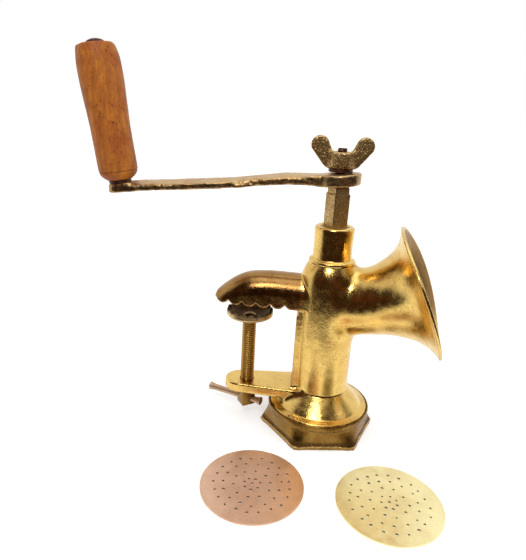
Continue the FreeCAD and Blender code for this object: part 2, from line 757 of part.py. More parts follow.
for sign, side in (("", "right"), ("-", "left")):
    ear = new_body(f"ear_{side}")
    ear_sketch = new_sketch(ear, f"ear_{side}_outline")
    draw_slot(
        ear_sketch,
        (f"{sign}wing_root_reach", f"{WING_FOOT} + wing_root_height + wing_half_width / 4"),
        (f"{sign}wing_tip_reach", f"{WING_FOOT} + wing_tip_height"),
        "wing_half_width",
    )
    pad(ear, ear_sketch, "wing_thickness", both_ways=True)
    ears.append(ear)
wing_blank = fuse("wing_blank", [wing_hub] + ears)
wing_hole = cylinder("wing_hole", "stud_radius + running_gap", "wing_hub_height + 2", z=f"{WING_FOOT} - 1")
wing_nut = label(cut("wing", wing_blank, wing_hole), "wing_nut")

# Crank arm: the side view extruded across, kept inside the plan view extruded up
END_TOP = f"({PIVOT_TOP} - (arm_end_radius + 1) * tan(arm_lean * 1deg))"
side_body = new_body("arm_side")
side_sketch = new_sketch(side_body, "arm_side_outline")
draw_outline(side_sketch, [
    ("-arm_radius - arm_end_radius - 1", END_TOP),
    ("-arm_radius - arm_end_radius - 1", f"{END_TOP} - arm_thickness"),
    ("-arm_heel_reach", f"{EYE_TOP} - arm_heel_drop - arm_thickness"),
    ("-arm_sag_reach", f"{EYE_TOP} - arm_sag_drop - arm_thickness"),
    ("-arm_bend_reach", f"{EYE_TOP} - arm_bend_drop - arm_thickness"),
    ("-arm_root_reach", f"{ROOT_TOP} - arm_thickness"),
    ("-eye_radius + 2", f"{EYE_FOOT} - (eye_radius - 2) * tan(eye_tilt * 1deg)"),
    ("eye_radius + 1", f"{EYE_FOOT} + (eye_radius + 1) * tan(eye_tilt * 1deg)"),
    ("eye_radius + 1", f"{EYE_TOP} + (eye_radius + 1) * tan(eye_tilt * 1deg)"),
    ("-arm_root_reach", ROOT_TOP),
    ("-arm_bend_reach", f"{EYE_TOP} - arm_bend_drop"),
    ("-arm_sag_reach", f"{EYE_TOP} - arm_sag_drop"),
    ("-arm_heel_reach", f"{EYE_TOP} - arm_heel_drop"),
])
pad(side_body, side_sketch, "4 * eye_radius", both_ways=True)
plan_body = new_body("arm_plan")
plan_sketch = new_sketch(plan_body, "arm_plan_outline", "XY_Plane")
draw_outline(plan_sketch, [
    ("-arm_radius", "arm_end_width / 2"),
    ("-arm_radius", "-arm_end_width / 2", "arm_end_radius"),
    ("-arm_bend_reach", "-arm_width / 2"),
    ("-sqrt(eye_radius^2 - arm_width^2 / 4) - 4", "-arm_width / 2 - 0.5"),
    ("-eye_radius * 0.6", "-eye_radius * 0.8"),
    ("-eye_radius * 0.6", "eye_radius * 0.8", "eye_radius * 1.6"),
    ("-sqrt(eye_radius^2 - arm_width^2 / 4) - 4", "arm_width / 2 + 0.5"),
    ("-arm_bend_reach", "arm_width / 2"),
])
pad(plan_body, plan_sketch, f"{EYE_TOP} + 20")
EYE_HOLE_SIDE = "spigot_side + 2 * running_gap"
eye_hole = square_bar("eye_hole", EYE_HOLE_SIDE, "eye_thickness + 8", f"{EYE_FOOT} - 4", "square_turn")
PIVOT_X = "-arm_radius"
pin_hole = cylinder("pin_hole", "spindle_radius", "arm_thickness + 8")
DOWN = "(arm_thickness + 4)"
place(
    pin_hole,
    f"{PIVOT_X} + {DOWN} * sin(arm_lean * 1deg)",
    "0",
    f"{PIVOT_TOP} - {DOWN} * cos(arm_lean * 1deg)",
    "-arm_lean",
    (0, 1, 0),
)
arm_blank = common("arm_blank", [side_body, plan_body])
crank_arm = label(cut("arm", arm_blank, fuse("arm_holes", [eye_hole, pin_hole])), "crank_arm")

# Handle, made along its own Z axis from the arm's top face and leaned with the arm
GRIP_FOOT = "(foot_washer_thickness + seat_gap)"
GRIP_TOP = f"({GRIP_FOOT} + grip_length)"
HEAD_SEAT = f"({GRIP_TOP} + seat_gap + top_washer_thickness)"


def lean(obj):
    """Stand a piece of the handle on the arm at its pivot."""
    return place(obj, PIVOT_X, "0", PIVOT_TOP, "-arm_lean", (0, 1, 0))


handle_spindle = lean(turned_body("handle_spindle", [
    ("0", "-arm_thickness * cos(arm_lean * 1deg)"),
    ("spindle_radius", "-arm_thickness * cos(arm_lean * 1deg)"),
    ("spindle_radius", HEAD_SEAT),
    ("rivet_head_radius", HEAD_SEAT),
    ("rivet_flat", f"{HEAD_SEAT} + rivet_head_height", "0.7"),
    ("0", f"{HEAD_SEAT} + rivet_head_height"),
]))
foot_washer = lean(turned_body("grip_washer_lower", [
    ("spindle_radius", "0"),
    ("foot_washer_radius", "0"),
    ("foot_washer_radius", "foot_washer_thickness"),
    ("spindle_radius", "foot_washer_thickness"),
]))
top_washer = lean(turned_body("grip_washer_upper", [
    ("spindle_radius", f"{GRIP_TOP} + seat_gap"),
    ("top_washer_radius", f"{GRIP_TOP} + seat_gap"),
    ("top_washer_radius", HEAD_SEAT),
    ("spindle_radius", HEAD_SEAT),
]))
wooden_grip = lean(turned_body("wooden_grip", [
    ("spindle_radius + running_gap", GRIP_FOOT),
    ("grip_foot_radius", GRIP_FOOT),
    ("grip_heel_radius", f"{GRIP_FOOT} + grip_foot_height"),
    ("grip_hip_radius", f"{GRIP_FOOT} + grip_hip_height", "grip_heel_bulge"),
    ("grip_belly_radius", f"{GRIP_FOOT} + grip_belly_height", "-grip_waist_bulge"),
    ("grip_shoulder_radius", f"{GRIP_FOOT} + grip_shoulder_height", "grip_belly_bulge"),
    ("grip_top_radius", GRIP_TOP, "grip_crown_bulge"),
    ("spindle_radius + running_gap", GRIP_TOP),
]))

# Ring nut: a hexagon whose corners sweep up into a round collar
nut_hex = doc.addObject("Part::Prism", "nut_hex")
nut_hex.Polygon = 6
bind(nut_hex, Circumradius="nut_corner_radius", Height="nut_height")
place(nut_hex, turn="nut_turn")
nut_sweep = turned_body("nut_sweep", [
    ("0", "0"),
    ("nut_corner_radius + 1", "0"),
    ("nut_corner_radius + 1", "nut_edge_height"),
    ("nut_corner_radius - 0.6", "nut_edge_height"),
    ("nut_collar_radius - 0.5", "nut_edge_height + nut_sweep_height", "-1.2"),
    ("0", "nut_edge_height + nut_sweep_height"),
])
nut_collar = cylinder("nut_collar", "nut_collar_radius", "nut_height")
nut_blank = fuse("nut_blank", [common("nut_foot", [nut_hex, nut_sweep]), nut_collar])
nut_bore = turned_body("nut_bore", [
    ("0", "-1"),
    ("outlet_radius", "-1"),
    ("outlet_radius", "lip_thickness"),
    ("thread_radius + thread_gap", "lip_thickness"),
    ("thread_radius + thread_gap", f"{FLANGE_FOOT} - loose_gap"),
    ("flange_radius + loose_gap", f"{FLANGE_FOOT} - loose_gap"),
    ("flange_radius + loose_gap", "nut_height + 1"),
    ("0", "nut_height + 1"),
])
ring_nut = label(cut("nut", nut_blank, nut_bore), "ring_nut")

# Perforated discs: rings of punched holes round a centre hole
HOLE_RINGS = (
    ("inner_ring_radius", 7),
    ("second_ring_radius", 10),
    ("third_ring_radius", 15),
    ("outer_ring_radius", 21),
)


def perforated_disc(name, hole_radius, x, y, z):
    body = new_body(name)
    rim = new_sketch(body, name + "_rim", "XY_Plane")
    draw_circle(rim, "0", "0", "disc_radius")
    draw_circle(rim, "0", "0", hole_radius)
    pad(body, rim, "disc_thickness")
    for ring_radius, count in HOLE_RINGS:
        hole = new_sketch(body, f"{name}_{ring_radius}", "XY_Plane")
        draw_circle(hole, ring_radius, "0", hole_radius)
        punched = pocket(body, hole, "disc_thickness + 1", name=f"{name}_{ring_radius}_hole")
        punched.Reversed = True
        polar(body, punched, count, f"{name}_{ring_radius}_ring")
    return place(body, x, y, z)


perforated_disc("fitted_disc", "disc_hole_radius", "0", "0", "lip_thickness + seat_gap")
perforated_disc("loose_disc_fine", "disc_hole_radius", "left_disc_x", "left_disc_y", "0")
perforated_disc("loose_disc_coarse", "coarse_hole_radius", "right_disc_x", "right_disc_y", "0")

SUB_PARTS = (
    "barrel_casting", "horn_hopper", "clamp_jaw", "clamp_lug", "clamp_pad", "clamp_screw", "tommy_bar",
    "feed_worm", "thrust_washer", "crank_stud", "crank_washer", "wing_nut", "crank_arm", "handle_spindle",
    "grip_washer_lower", "grip_washer_upper", "wooden_grip", "ring_nut", "fitted_disc", "loose_disc_fine",
    "loose_disc_coarse",
)

doc.recompute()
faults = [obj.Name for obj in doc.Objects if "Invalid" in obj.State or "Error" in obj.State]
if faults:
    raise RuntimeError("failed to rebuild: " + ", ".join(faults))
pieces = {}
for name in SUB_PARTS:
    found = doc.getObjectsByLabel(name)
    shape = found[0].Shape
    if shape.isNull() or not shape.isValid() or len(shape.Solids) != 1:
        raise RuntimeError(f"{name} is not one sound solid, but {len(shape.Solids)}")
    pieces[name] = shape
os.makedirs("parts", exist_ok=True)
for name, shape in pieces.items():
    shape.exportStep(os.path.join("parts", name + ".step"))
    print(f"{name}: {shape.Volume:.0f} mm3, box {shape.BoundBox}")
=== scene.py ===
import itertools
import json
import math
from types import SimpleNamespace

import bmesh
import bpy
import numpy as np
from bpy.props import FloatProperty, FloatVectorProperty, IntProperty, PointerProperty
from mathutils import Matrix, Vector


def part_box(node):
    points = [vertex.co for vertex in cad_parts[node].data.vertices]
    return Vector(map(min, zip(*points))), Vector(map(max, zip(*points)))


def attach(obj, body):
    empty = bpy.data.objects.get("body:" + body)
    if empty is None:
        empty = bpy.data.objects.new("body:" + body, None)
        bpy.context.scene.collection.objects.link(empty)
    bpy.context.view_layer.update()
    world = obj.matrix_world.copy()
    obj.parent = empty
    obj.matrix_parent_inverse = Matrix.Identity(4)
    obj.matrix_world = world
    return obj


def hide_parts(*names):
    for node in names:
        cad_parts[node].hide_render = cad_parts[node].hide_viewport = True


bl_info = {
    "name": "String Hopper Press",
    "version": (1, 0, 0),
    "blender": (4, 5, 0),
    "location": "View3D > Sidebar > Press",
    "description": "Dresses a hand-cranked brass string hopper press and sets its studio",
    "category": "Object",
}

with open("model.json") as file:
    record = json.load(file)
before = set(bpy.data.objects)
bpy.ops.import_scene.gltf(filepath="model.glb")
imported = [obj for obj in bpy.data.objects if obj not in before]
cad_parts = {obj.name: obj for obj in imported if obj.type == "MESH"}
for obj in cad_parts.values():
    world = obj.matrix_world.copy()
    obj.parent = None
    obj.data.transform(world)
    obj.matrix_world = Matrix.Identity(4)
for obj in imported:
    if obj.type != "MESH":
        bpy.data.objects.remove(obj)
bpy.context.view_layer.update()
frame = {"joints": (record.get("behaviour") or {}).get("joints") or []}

# Lengths in the shaping code are millimetres; meshes and properties are metres.
MM = 0.001


def span(node):
    """Lowest and highest corner of a node at rest, in millimetres."""
    low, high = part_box(node)
    return low / MM, high / MM


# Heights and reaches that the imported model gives
OUTLET_FACE = span("barrel_casting")[0].z
NECK_TOP = span("barrel_casting")[1].z
JAW_FOOT = span("clamp_jaw")[0].z
JAW_REACH = -span("clamp_jaw")[0].x
LUG_FOOT = span("clamp_lug")[0].z
LUG_TOP = span("clamp_lug")[1].z
LUG_REACH = -span("clamp_lug")[0].x
PAD_LOW, PAD_HIGH = span("clamp_pad")
SCREW_FOOT = span("clamp_screw")[0].z
SCREW_X = (PAD_LOW.x + PAD_HIGH.x) / 2
WORM_LOW, WORM_HIGH = span("feed_worm")
EYE_TOP = WORM_HIGH.z + 0.15
SPACER_LOW, SPACER_HIGH = span("crank_washer")
WING_LOW, WING_HIGH = span("wing_nut")
STUD_HIGH = span("crank_stud")[1]
ARM_LOW, ARM_HIGH = span("crank_arm")
NUT_HEIGHT = span("ring_nut")[1].z
THRUST_LOW, THRUST_HIGH = span("thrust_washer")
JOINTS = {joint["name"]: joint for joint in frame["joints"]}
PIVOT = Vector(JOINTS["grip_spin"]["pos_m"]) / MM
LEAN = math.asin(-JOINTS["grip_spin"]["axis"][0])
BAR_TURN = math.atan2(JOINTS["bar_slide"]["axis"][1], JOINTS["bar_slide"]["axis"][0])
BAR_AIM = Matrix.Rotation(BAR_TURN, 4, "Z") @ Matrix.Rotation(math.pi / 2, 4, "Y")
BAR_HEIGHT = (span("tommy_bar")[0].z + span("tommy_bar")[1].z) / 2


def length(name, description, millimetres):
    """A length property, its default given in millimetres."""
    return FloatProperty(
        name=name, description=description, default=millimetres * MM, min=0.0, unit="LENGTH", precision=5
    )


def angle(name, description, degrees):
    """An angle property, its default given in degrees."""
    return FloatProperty(
        name=name, description=description, default=math.radians(degrees), unit="ROTATION", subtype="ANGLE"
    )


def colour(name, description, red, green, blue):
    """A colour property, its default given as a linear colour."""
    return FloatVectorProperty(
        name=name, description=description, default=(red, green, blue), subtype="COLOR", size=3,
        min=0.0, max=1.0
    )


def position(name, description, metres):
    """A coordinate property, its default given in metres."""
    return FloatProperty(name=name, description=description, default=metres, unit="LENGTH")


class CastingSizes(bpy.types.PropertyGroup):
    tube_radius: length("Tube radius", "Outer radius of the barrel's tube", 21.5)
    tube_wall: length("Tube wall", "Thickness of the barrel's wall", 3.2)
    tube_top: length("Tube top", "Height where the shoulder begins", 124.0)
    shoulder_top: length("Shoulder top", "Height where the bead begins", 135.6)
    bead_radius: length("Bead radius", "Radius of the bead above the shoulder", 17.2)
    neck_radius: length("Neck radius", "Outer radius of the neck", 14.5)
    neck_bore: length("Neck bore", "Radius of the neck's bore", 10.05)
    flange_radius: length("Flange radius", "Radius of the outlet flange", 38.5)
    flange_foot: length("Flange foot", "Height of the flange's lower face", 16.5)
    flange_top: length("Flange top", "Height of the flange's rim", 20.5)
    dome_top: length("Dome top", "Height where the dome meets the tube", 34.0)
    thread_radius: length("Thread radius", "Radius of the threaded foot", 37.1)
    chamber_radius: length("Chamber radius", "Radius of the chamber over the disc", 31.0)
    horn_height: length("Horn height", "Height where the horn's axis leaves the barrel's", 98.3)
    horn_turn: angle("Horn turn", "Turn of the horn about the barrel", -11.0)
    horn_rise: angle("Horn rise", "Rise of the horn's axis", 19.2)
    mouth_tilt: angle("Mouth tilt", "Further tilt of the horn's mouth", 4.4)
    mouth_saddle: length("Mouth saddle", "How far the mouth's sides stand forward", 2.8)
    horn_wall: length("Horn wall", "Thickness of the horn's wall", 3.0)
    jaw_wall: length("Jaw wall", "Thickness of the hood", 3.3)
    scallop_depth: length("Scallop depth", "Depth of the waves in the hood's edge", 3.0)
    scallop_pitch: length("Scallop pitch", "Spacing of the waves in the hood's edge", 10.55)
    fillet: length("Fillet", "Blend between the horn and the tube", 15.0)
    lip: length("Lip", "Thickness of the horn's lip", 2.7)


class CrankSizes(bpy.types.PropertyGroup):
    square_side: length("Square side", "Side of the squared shaft", 12.7)
    collar_side: length("Collar side", "Side of the stepped-in shaft under the arm", 11.3)
    spigot_side: length("Spigot side", "Side of the shaft's end in the arm", 10.6)
    square_turn: angle("Square turn", "Turn of the shaft's faces", 30.0)
    journal_radius: length("Journal radius", "Radius of the journal in the neck", 10.0)
    eye_radius: length("Eye radius", "Radius of the arm's eye", 14.9)
    eye_tilt: angle("Eye tilt", "Tilt of the arm's eye", 5.5)
    arm_width: length("Arm width", "Width of the arm", 17.6)
    tip_width: length("Tip width", "Width of the arm at its tip", 14.8)
    roughness: length("Edge roughness", "How far the cast edges wander", 0.55)
    top_fall: angle("Top fall", "Fall of the arm's top towards its front edge", 12.0)
    stud_radius: length("Stud radius", "Radius of the stud", 3.45)
    stud_pitch: length("Stud pitch", "Pitch of the stud's thread", 1.25)
    ear_thickness: length("Ear thickness", "Thickness of the wing nut's ears", 4.7)
    grain: length("Grain", "Depth of the sand-cast grain", 0.32)


class GripSizes(bpy.types.PropertyGroup):
    height: length("Height", "Length of the wooden grip", 90.0)
    foot: length("Foot", "Height of the grip's foot over the arm", 2.15)
    spindle_radius: length("Spindle radius", "Radius of the spindle", 3.5)
    washer_radius: length("Washer radius", "Radius of the washer under the grip", 8.0)
    rivet_radius: length("Rivet radius", "Radius of the spindle's riveted head", 6.1)
    wobble: length("Wobble", "Unevenness of the hand-turned wood", 0.35)


class ClampSizes(bpy.types.PropertyGroup):
    screw_radius: length("Screw radius", "Outer radius of the clamp screw", 5.5)
    screw_pitch: length("Screw pitch", "Pitch of the clamp screw", 1.814)
    block_side: length("Block side", "Side of the screw's head block", 11.0)
    block_turn: angle("Block turn", "Turn of the head block against its bar", -36.0)
    pad_radius: length("Pad radius", "Radius of the clamp pad", 18.0)
    tooth_depth: length("Tooth depth", "Depth of the pad's teeth", 2.3)
    bar_radius: length("Bar radius", "Radius of the tommy bar", 2.6)
    bar_long: length("Long end", "Reach of the bar's long end", 34.5)
    bar_short: length("Short end", "Reach of the bar's short end", 14.0)
    teeth: IntProperty(name="Teeth", description="Teeth round the pad", default=16, min=3)


class OutletSizes(bpy.types.PropertyGroup):
    nut_radius: length("Nut corner radius", "Radius of the ring nut's corners", 45.8)
    nut_turn: angle("Nut turn", "Turn of the ring nut's corners", 7.8)
    collar_radius: length("Collar radius", "Radius of the ring nut's collar", 39.9)
    waist_radius: length("Waist radius", "Radius of the ring nut's waist under the collar", 38.75)
    plate: length("Plate", "Height of the ring nut's hexagonal edge", 2.4)
    ledge: length("Ledge", "Step between the ring nut's edge and its skirt", 0.9)
    skirt_top: length("Skirt top", "Height where the ring nut's skirt reaches its waist", 17.0)
    outlet_radius: length("Outlet radius", "Radius of the outlet", 29.5)
    disc_radius: length("Disc radius", "Radius of a perforated disc", 34.9)
    fine_hole: length("Fine hole", "Radius of the copper disc's holes", 0.8)
    coarse_hole: length("Coarse hole", "Radius of the pale disc's holes", 0.8)
    burr: length("Burr", "Height of the burr round a punched hole", 0.16)
    wander: length("Wander", "How far the punched holes stray", 0.75)


class FinishColours(bpy.types.PropertyGroup):
    brass: colour("Brass", "Polished brass", 0.81, 0.55, 0.165)
    warm_brass: colour("Warm brass", "Toned patches of polished brass", 0.60, 0.34, 0.075)
    hood: colour("Hood", "Brown-gold brass of the hood", 0.37, 0.205, 0.066)
    aged: colour("Aged brass", "Antique brass of the ring nut", 0.31, 0.175, 0.040)
    bronze: colour("Bronze", "Dull bronze of the arm", 0.66, 0.46, 0.22)
    sand_cast: colour("Sand cast", "Grainy brass of the wing nut and shaft", 0.68, 0.47, 0.20)
    copper: colour("Copper", "Pinkish sheet of the left disc", 0.80, 0.53, 0.37)
    pale: colour("Pale brass", "Pale yellow sheet of the right disc", 1.0, 0.90, 0.50)
    bar: colour("Bar", "Pinkish rod of the tommy bar", 0.66, 0.46, 0.31)
    # Soot also serves as painted shade on the punched holes' walls and the arm's sides.
    soot_and_shade: colour("Soot", "Tarnish in pits and crevices", 0.05, 0.025, 0.012)
    steel: colour("Steel", "Blackened steel", 0.070, 0.038, 0.030)
    wood_light: colour("Light wood", "Light grain of the grip", 0.52, 0.165, 0.011)
    wood_dark: colour("Dark wood", "Dark grain of the grip", 0.26, 0.070, 0.009)


class StageSettings(bpy.types.PropertyGroup):
    camera_x: position("Camera X", "Camera's place along X", -0.0253)
    camera_y: position("Camera Y", "Camera's place along Y", -0.3515)
    camera_z: position("Camera Z", "Camera's height", 0.235)
    camera_turn: angle("Camera turn", "Turn of the view to the left of +Y", 4.0)
    camera_pitch: angle("Camera pitch", "Fall of the view", 18.44)
    camera_roll: angle("Camera roll", "Roll of the view", 3.1)
    lens: FloatProperty(name="Lens", description="Focal length on a 36 mm sensor", default=31.564)
    floor: colour("Floor", "Colour of the floor", 0.86, 0.86, 0.86)
    room: colour("Room", "Colour of the dim room in front", 0.026, 0.020, 0.014)


def in_millimetres(group):
    """A property group's lengths in millimetres, with its angles and counts as they are."""
    values = {}
    for name, rule in group.bl_rna.properties.items():
        if name in ("rna_type", "name"):
            continue
        value = getattr(group, name)
        values[name] = value / MM if rule.unit == "LENGTH" else value
    return SimpleNamespace(**values)


# Shapes as fields of signed distance, in millimetres, negative inside

FAR = 400.0
SETTLE_ROUNDS = 3
CREVICE_DEPTH = 2.2
EDGE_DEPTH = 1.2


def outline_distance(across, up, outline):
    """Distance from points of a plane to a closed outline."""
    nearest = np.full(across.shape, np.inf)
    inside = np.zeros(across.shape, bool)
    for (a0, b0), (a1, b1) in zip(outline, outline[1:] + outline[:1]):
        run = a1 - a0
        rise = b1 - b0
        share = np.clip(((across - a0) * run + (up - b0) * rise) / (run * run + rise * rise), 0.0, 1.0)
        nearest = np.minimum(nearest, (across - a0 - share * run) ** 2 + (up - b0 - share * rise) ** 2)
        if rise:
            crosses = (b0 > up) != (b1 > up)
            inside ^= crosses & (across < a0 + (up - b0) * run / rise)
    return np.where(inside, -1.0, 1.0) * np.sqrt(nearest)


def soft_union(first, second, blend):
    """Union of two shapes with a fillet whose curve runs in smoothly."""
    near = np.maximum(blend - np.abs(first - second), 0.0) / blend
    return np.minimum(first, second) - near ** 3 * blend / 6


def soft_common(first, second, blend):
    """What two shapes share, its edge rounded."""
    return -soft_union(-first, -second, blend)


def soft_cut(body, tool, blend):
    """A body less a tool, its edge rounded."""
    return -soft_union(-body, tool, blend)


def smooth_step(low, high, value):
    """A share that runs smoothly from 0 at low to 1 at high."""
    share = np.clip((value - low) / (high - low), 0.0, 1.0)
    return share * share * (3 - 2 * share)


def flowing(points, steps=6):
    """A smooth line through points, as a list of points."""
    line = []
    padded = [points[0], *points, points[-1]]
    for corners in zip(padded, padded[1:], padded[2:], padded[3:]):
        for step in range(steps):
            t = step / steps
            line.append(tuple(
                0.5 * (2 * b + (c - a) * t + (2 * a - 5 * b + 4 * c - d) * t * t
                       + (3 * b - a - 3 * c + d) * t ** 3)
                for a, b, c, d in zip(*corners)
            ))
    line.append(points[-1])
    return line


def bowed(start, end, bulge, steps=8):
    """Points after the start of a curve that bulges to the right of its run."""
    run = Vector(end) - Vector(start)
    side = Vector((run.y, -run.x)).normalized()
    points = []
    for step in range(1, steps + 1):
        t = step / steps
        point = Vector(start) + run * t + side * bulge * 4 * t * (1 - t)
        points.append((point.x, point.y))
    return points


def lattice_noise(points, cell, seed):
    """Smooth noise from -1 to 1 whose bumps are about a cell across."""
    table = np.random.default_rng(seed).uniform(-1.0, 1.0, (32, 32, 32))
    spot = np.asarray(points) / cell
    base = np.floor(spot).astype(int)
    share = spot - base
    share = share * share * (3 - 2 * share)
    total = np.zeros(len(spot))
    for corner in itertools.product((0, 1), repeat=3):
        weight = np.ones(len(spot))
        for axis, step in enumerate(corner):
            weight *= share[:, axis] if step else 1 - share[:, axis]
        index = (base + corner) % 32
        total += weight * table[index[:, 0], index[:, 1], index[:, 2]]
    return total


def grid_cells(field, low, high, step):
    """Corner points and quads of a closed skin round a field's inside."""
    block = 6
    counts = [math.ceil(((b - a) / step + 3) / block) for a, b in zip(low, high)]
    shape = tuple(count * block for count in counts)
    axes = [a - step + step * np.arange(count) for a, count in zip(low, shape)]
    start = np.array([axis[0] for axis in axes])
    spots = np.stack(np.meshgrid(*[np.arange(count) for count in counts], indexing="ij"), -1).reshape(-1, 3)
    middles = field(start + step * (spots * block + (block - 1) / 2))
    values = np.repeat(np.repeat(np.repeat(middles.reshape(counts), block, 0), block, 1), block, 2)
    near = spots[np.abs(middles) < step * block * 1.25]
    inner = np.stack(np.meshgrid(*[np.arange(block)] * 3, indexing="ij"), -1).reshape(-1, 3)
    for batch in np.array_split(near, max(1, len(near) // 800)):
        corners = (batch[:, None, :] * block + inner[None]).reshape(-1, 3)
        values[tuple(corners.T)] = field(start + step * corners)
    inside = values < 0
    count = sum(
        inside[i:shape[0] - 1 + i, j:shape[1] - 1 + j, k:shape[2] - 1 + k].astype(np.int8)
        for i, j, k in itertools.product((0, 1), repeat=3)
    )
    cells = np.argwhere((count > 0) & (count < 8))
    number = np.full(count.shape, -1, np.int64)
    number[tuple(cells.T)] = np.arange(len(cells))
    total = np.zeros((len(cells), 3))
    crossings = np.zeros(len(cells))
    for axis in range(3):
        others = [other for other in range(3) if other != axis]
        for first, second in itertools.product((0, 1), repeat=2):
            start = cells.copy()
            start[:, others[0]] += first
            start[:, others[1]] += second
            end = start.copy()
            end[:, axis] += 1
            a = values[tuple(start.T)]
            b = values[tuple(end.T)]
            cross = (a < 0) != (b < 0)
            share = np.where(cross, a / np.where(cross, a - b, 1.0), 0.0)
            spot = start.astype(float)
            spot[:, axis] += share
            total += spot * cross[:, None]
            crossings += cross
    origin = np.array([axis[0] for axis in axes])
    points = origin + step * total / crossings[:, None]
    quads = []
    for axis in range(3):
        u, v = [(1, 2), (2, 0), (0, 1)][axis]
        ahead = [slice(None)] * 3
        behind = [slice(None)] * 3
        ahead[axis] = slice(1, None)
        behind[axis] = slice(None, -1)
        changes = inside[tuple(ahead)] != inside[tuple(behind)]
        edges = np.argwhere(changes)
        edges = edges[(edges[:, u] > 0) & (edges[:, v] > 0)]
        outward = inside[tuple(edges.T)]
        ring = []
        for step_u, step_v in ((-1, -1), (0, -1), (0, 0), (-1, 0)):
            cell = edges.copy()
            cell[:, u] += step_u
            cell[:, v] += step_v
            ring.append(number[tuple(cell.T)])
        ring = np.stack(ring, -1)
        quads.append(np.where(outward[:, None], ring, ring[:, ::-1]))
    return points, np.concatenate(quads)


def slope(field, points, reach):
    """Direction and rate of a field's growth."""
    growth = np.empty_like(points)
    for axis in range(3):
        shift = np.zeros(3)
        shift[axis] = reach
        growth[:, axis] = (field(points + shift) - field(points - shift)) / (2 * reach)
    rate = np.linalg.norm(growth, axis=1)
    return growth / np.maximum(rate, 1e-6)[:, None], rate


def carved(name, field, low, high, step, crease=0.3, marks=None):
    """A smooth closed mesh of a field's inside.

    Its points carry the shares "crevice" and "edge", and those that marks adds or corrects.
    """
    points, quads = grid_cells(field, low, high, step)
    for _ in range(SETTLE_ROUNDS):
        direction, rate = slope(field, points, 0.05)
        travel = np.clip(field(points) / np.maximum(rate, 0.3), -step / 2, step / 2)
        points = points - direction * travel[:, None]
    normals, _ = slope(field, points, crease)
    mesh = bpy.data.meshes.new(name)
    mesh.from_pydata((points * MM).tolist(), [], quads.tolist())
    mesh.update()
    mesh.shade_smooth()
    mesh.normals_split_custom_set_from_vertices(normals.tolist())
    shares = {
        "crevice": np.clip(1 - field(points + normals * CREVICE_DEPTH) / CREVICE_DEPTH, 0.0, 1.0),
        "edge": np.clip(1 + field(points - normals * EDGE_DEPTH) / EDGE_DEPTH, 0.0, 1.0),
    }
    if marks is not None:
        shares.update(marks(points, shares))
    for title, values in shares.items():
        layer = mesh.attributes.new(title, "FLOAT", "POINT")
        layer.data.foreach_set("value", values.astype(np.float32))
    return new_object(name, mesh)


# Meshes


def new_object(name, mesh):
    """A mesh's object, at the origin."""
    piece = bpy.data.objects.new(name, mesh)
    bpy.context.scene.collection.objects.link(piece)
    return piece


def turned(name, profile, around=96, closed=False, shape=None, place=None):
    """A mesh turned about Z from (radius, height) points, lower end first on the outside."""
    points = []
    rings = []
    for radius, height in profile:
        if radius < 1e-6:
            rings.append([len(points)] * around)
            points.append((0.0, 0.0, height))
            continue
        rings.append(range(len(points), len(points) + around))
        for step in range(around):
            turn = 2 * math.pi * step / around
            points.append((radius * math.cos(turn), radius * math.sin(turn), height))
    points = np.array(points, float)
    if shape is not None:
        points = shape(points)
    faces = []
    pairs = list(zip(rings, rings[1:]))
    if closed:
        pairs.append((rings[-1], rings[0]))
    for lower, upper in pairs:
        for step in range(around):
            after = (step + 1) % around
            corners = [lower[step], lower[after], upper[after], upper[step]]
            faces.append(list(dict.fromkeys(corners)))
    mesh = bpy.data.meshes.new(name)
    mesh.from_pydata((points * MM).tolist(), [], faces)
    if place is not None:
        mesh.transform(place)
    shell = bmesh.new()
    shell.from_mesh(mesh)
    bmesh.ops.recalc_face_normals(shell, faces=shell.faces)
    shell.to_mesh(mesh)
    shell.free()
    mesh.shade_smooth()
    return new_object(name, mesh)


def washer(name, inner, outer, low, high, around, edge, place=None):
    """A flat ring with rounded edges."""
    ring = [(inner, low), (outer, low), (outer, high), (inner, high)]
    return round_edges(turned(name, ring, around, closed=True, place=place), edge)


def at(x, y, z, turn=None):
    """A placing from millimetres, with a turn first."""
    move = Matrix.Translation(Vector((x, y, z)) * MM)
    return move if turn is None else move @ turn


def round_edges(piece, width):
    """A bevel on a piece's sharp edges, its width in millimetres."""
    bevel = piece.modifiers.new("Edge rounding", "BEVEL")
    bevel.width = width * MM
    bevel.segments = 3
    bevel.limit_method = "ANGLE"
    bevel.angle_limit = math.radians(30)
    bevel.harden_normals = False
    return piece


def plain_mesh(piece):
    """A new mesh of a piece as its modifiers leave it."""
    bpy.context.view_layer.update()
    return bpy.data.meshes.new_from_object(piece.evaluated_get(bpy.context.evaluated_depsgraph_get()))


def finished(piece, body, slot, finish, *nodes):
    """Give a piece its finish and body, and let it stand for the nodes that it replaces, which are hidden;
    the slot is not used.
    """
    piece.data.materials.clear()
    piece.data.materials.append(FINISHES[finish])
    if nodes:
        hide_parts(*nodes)
    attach(piece, body)


# Materials


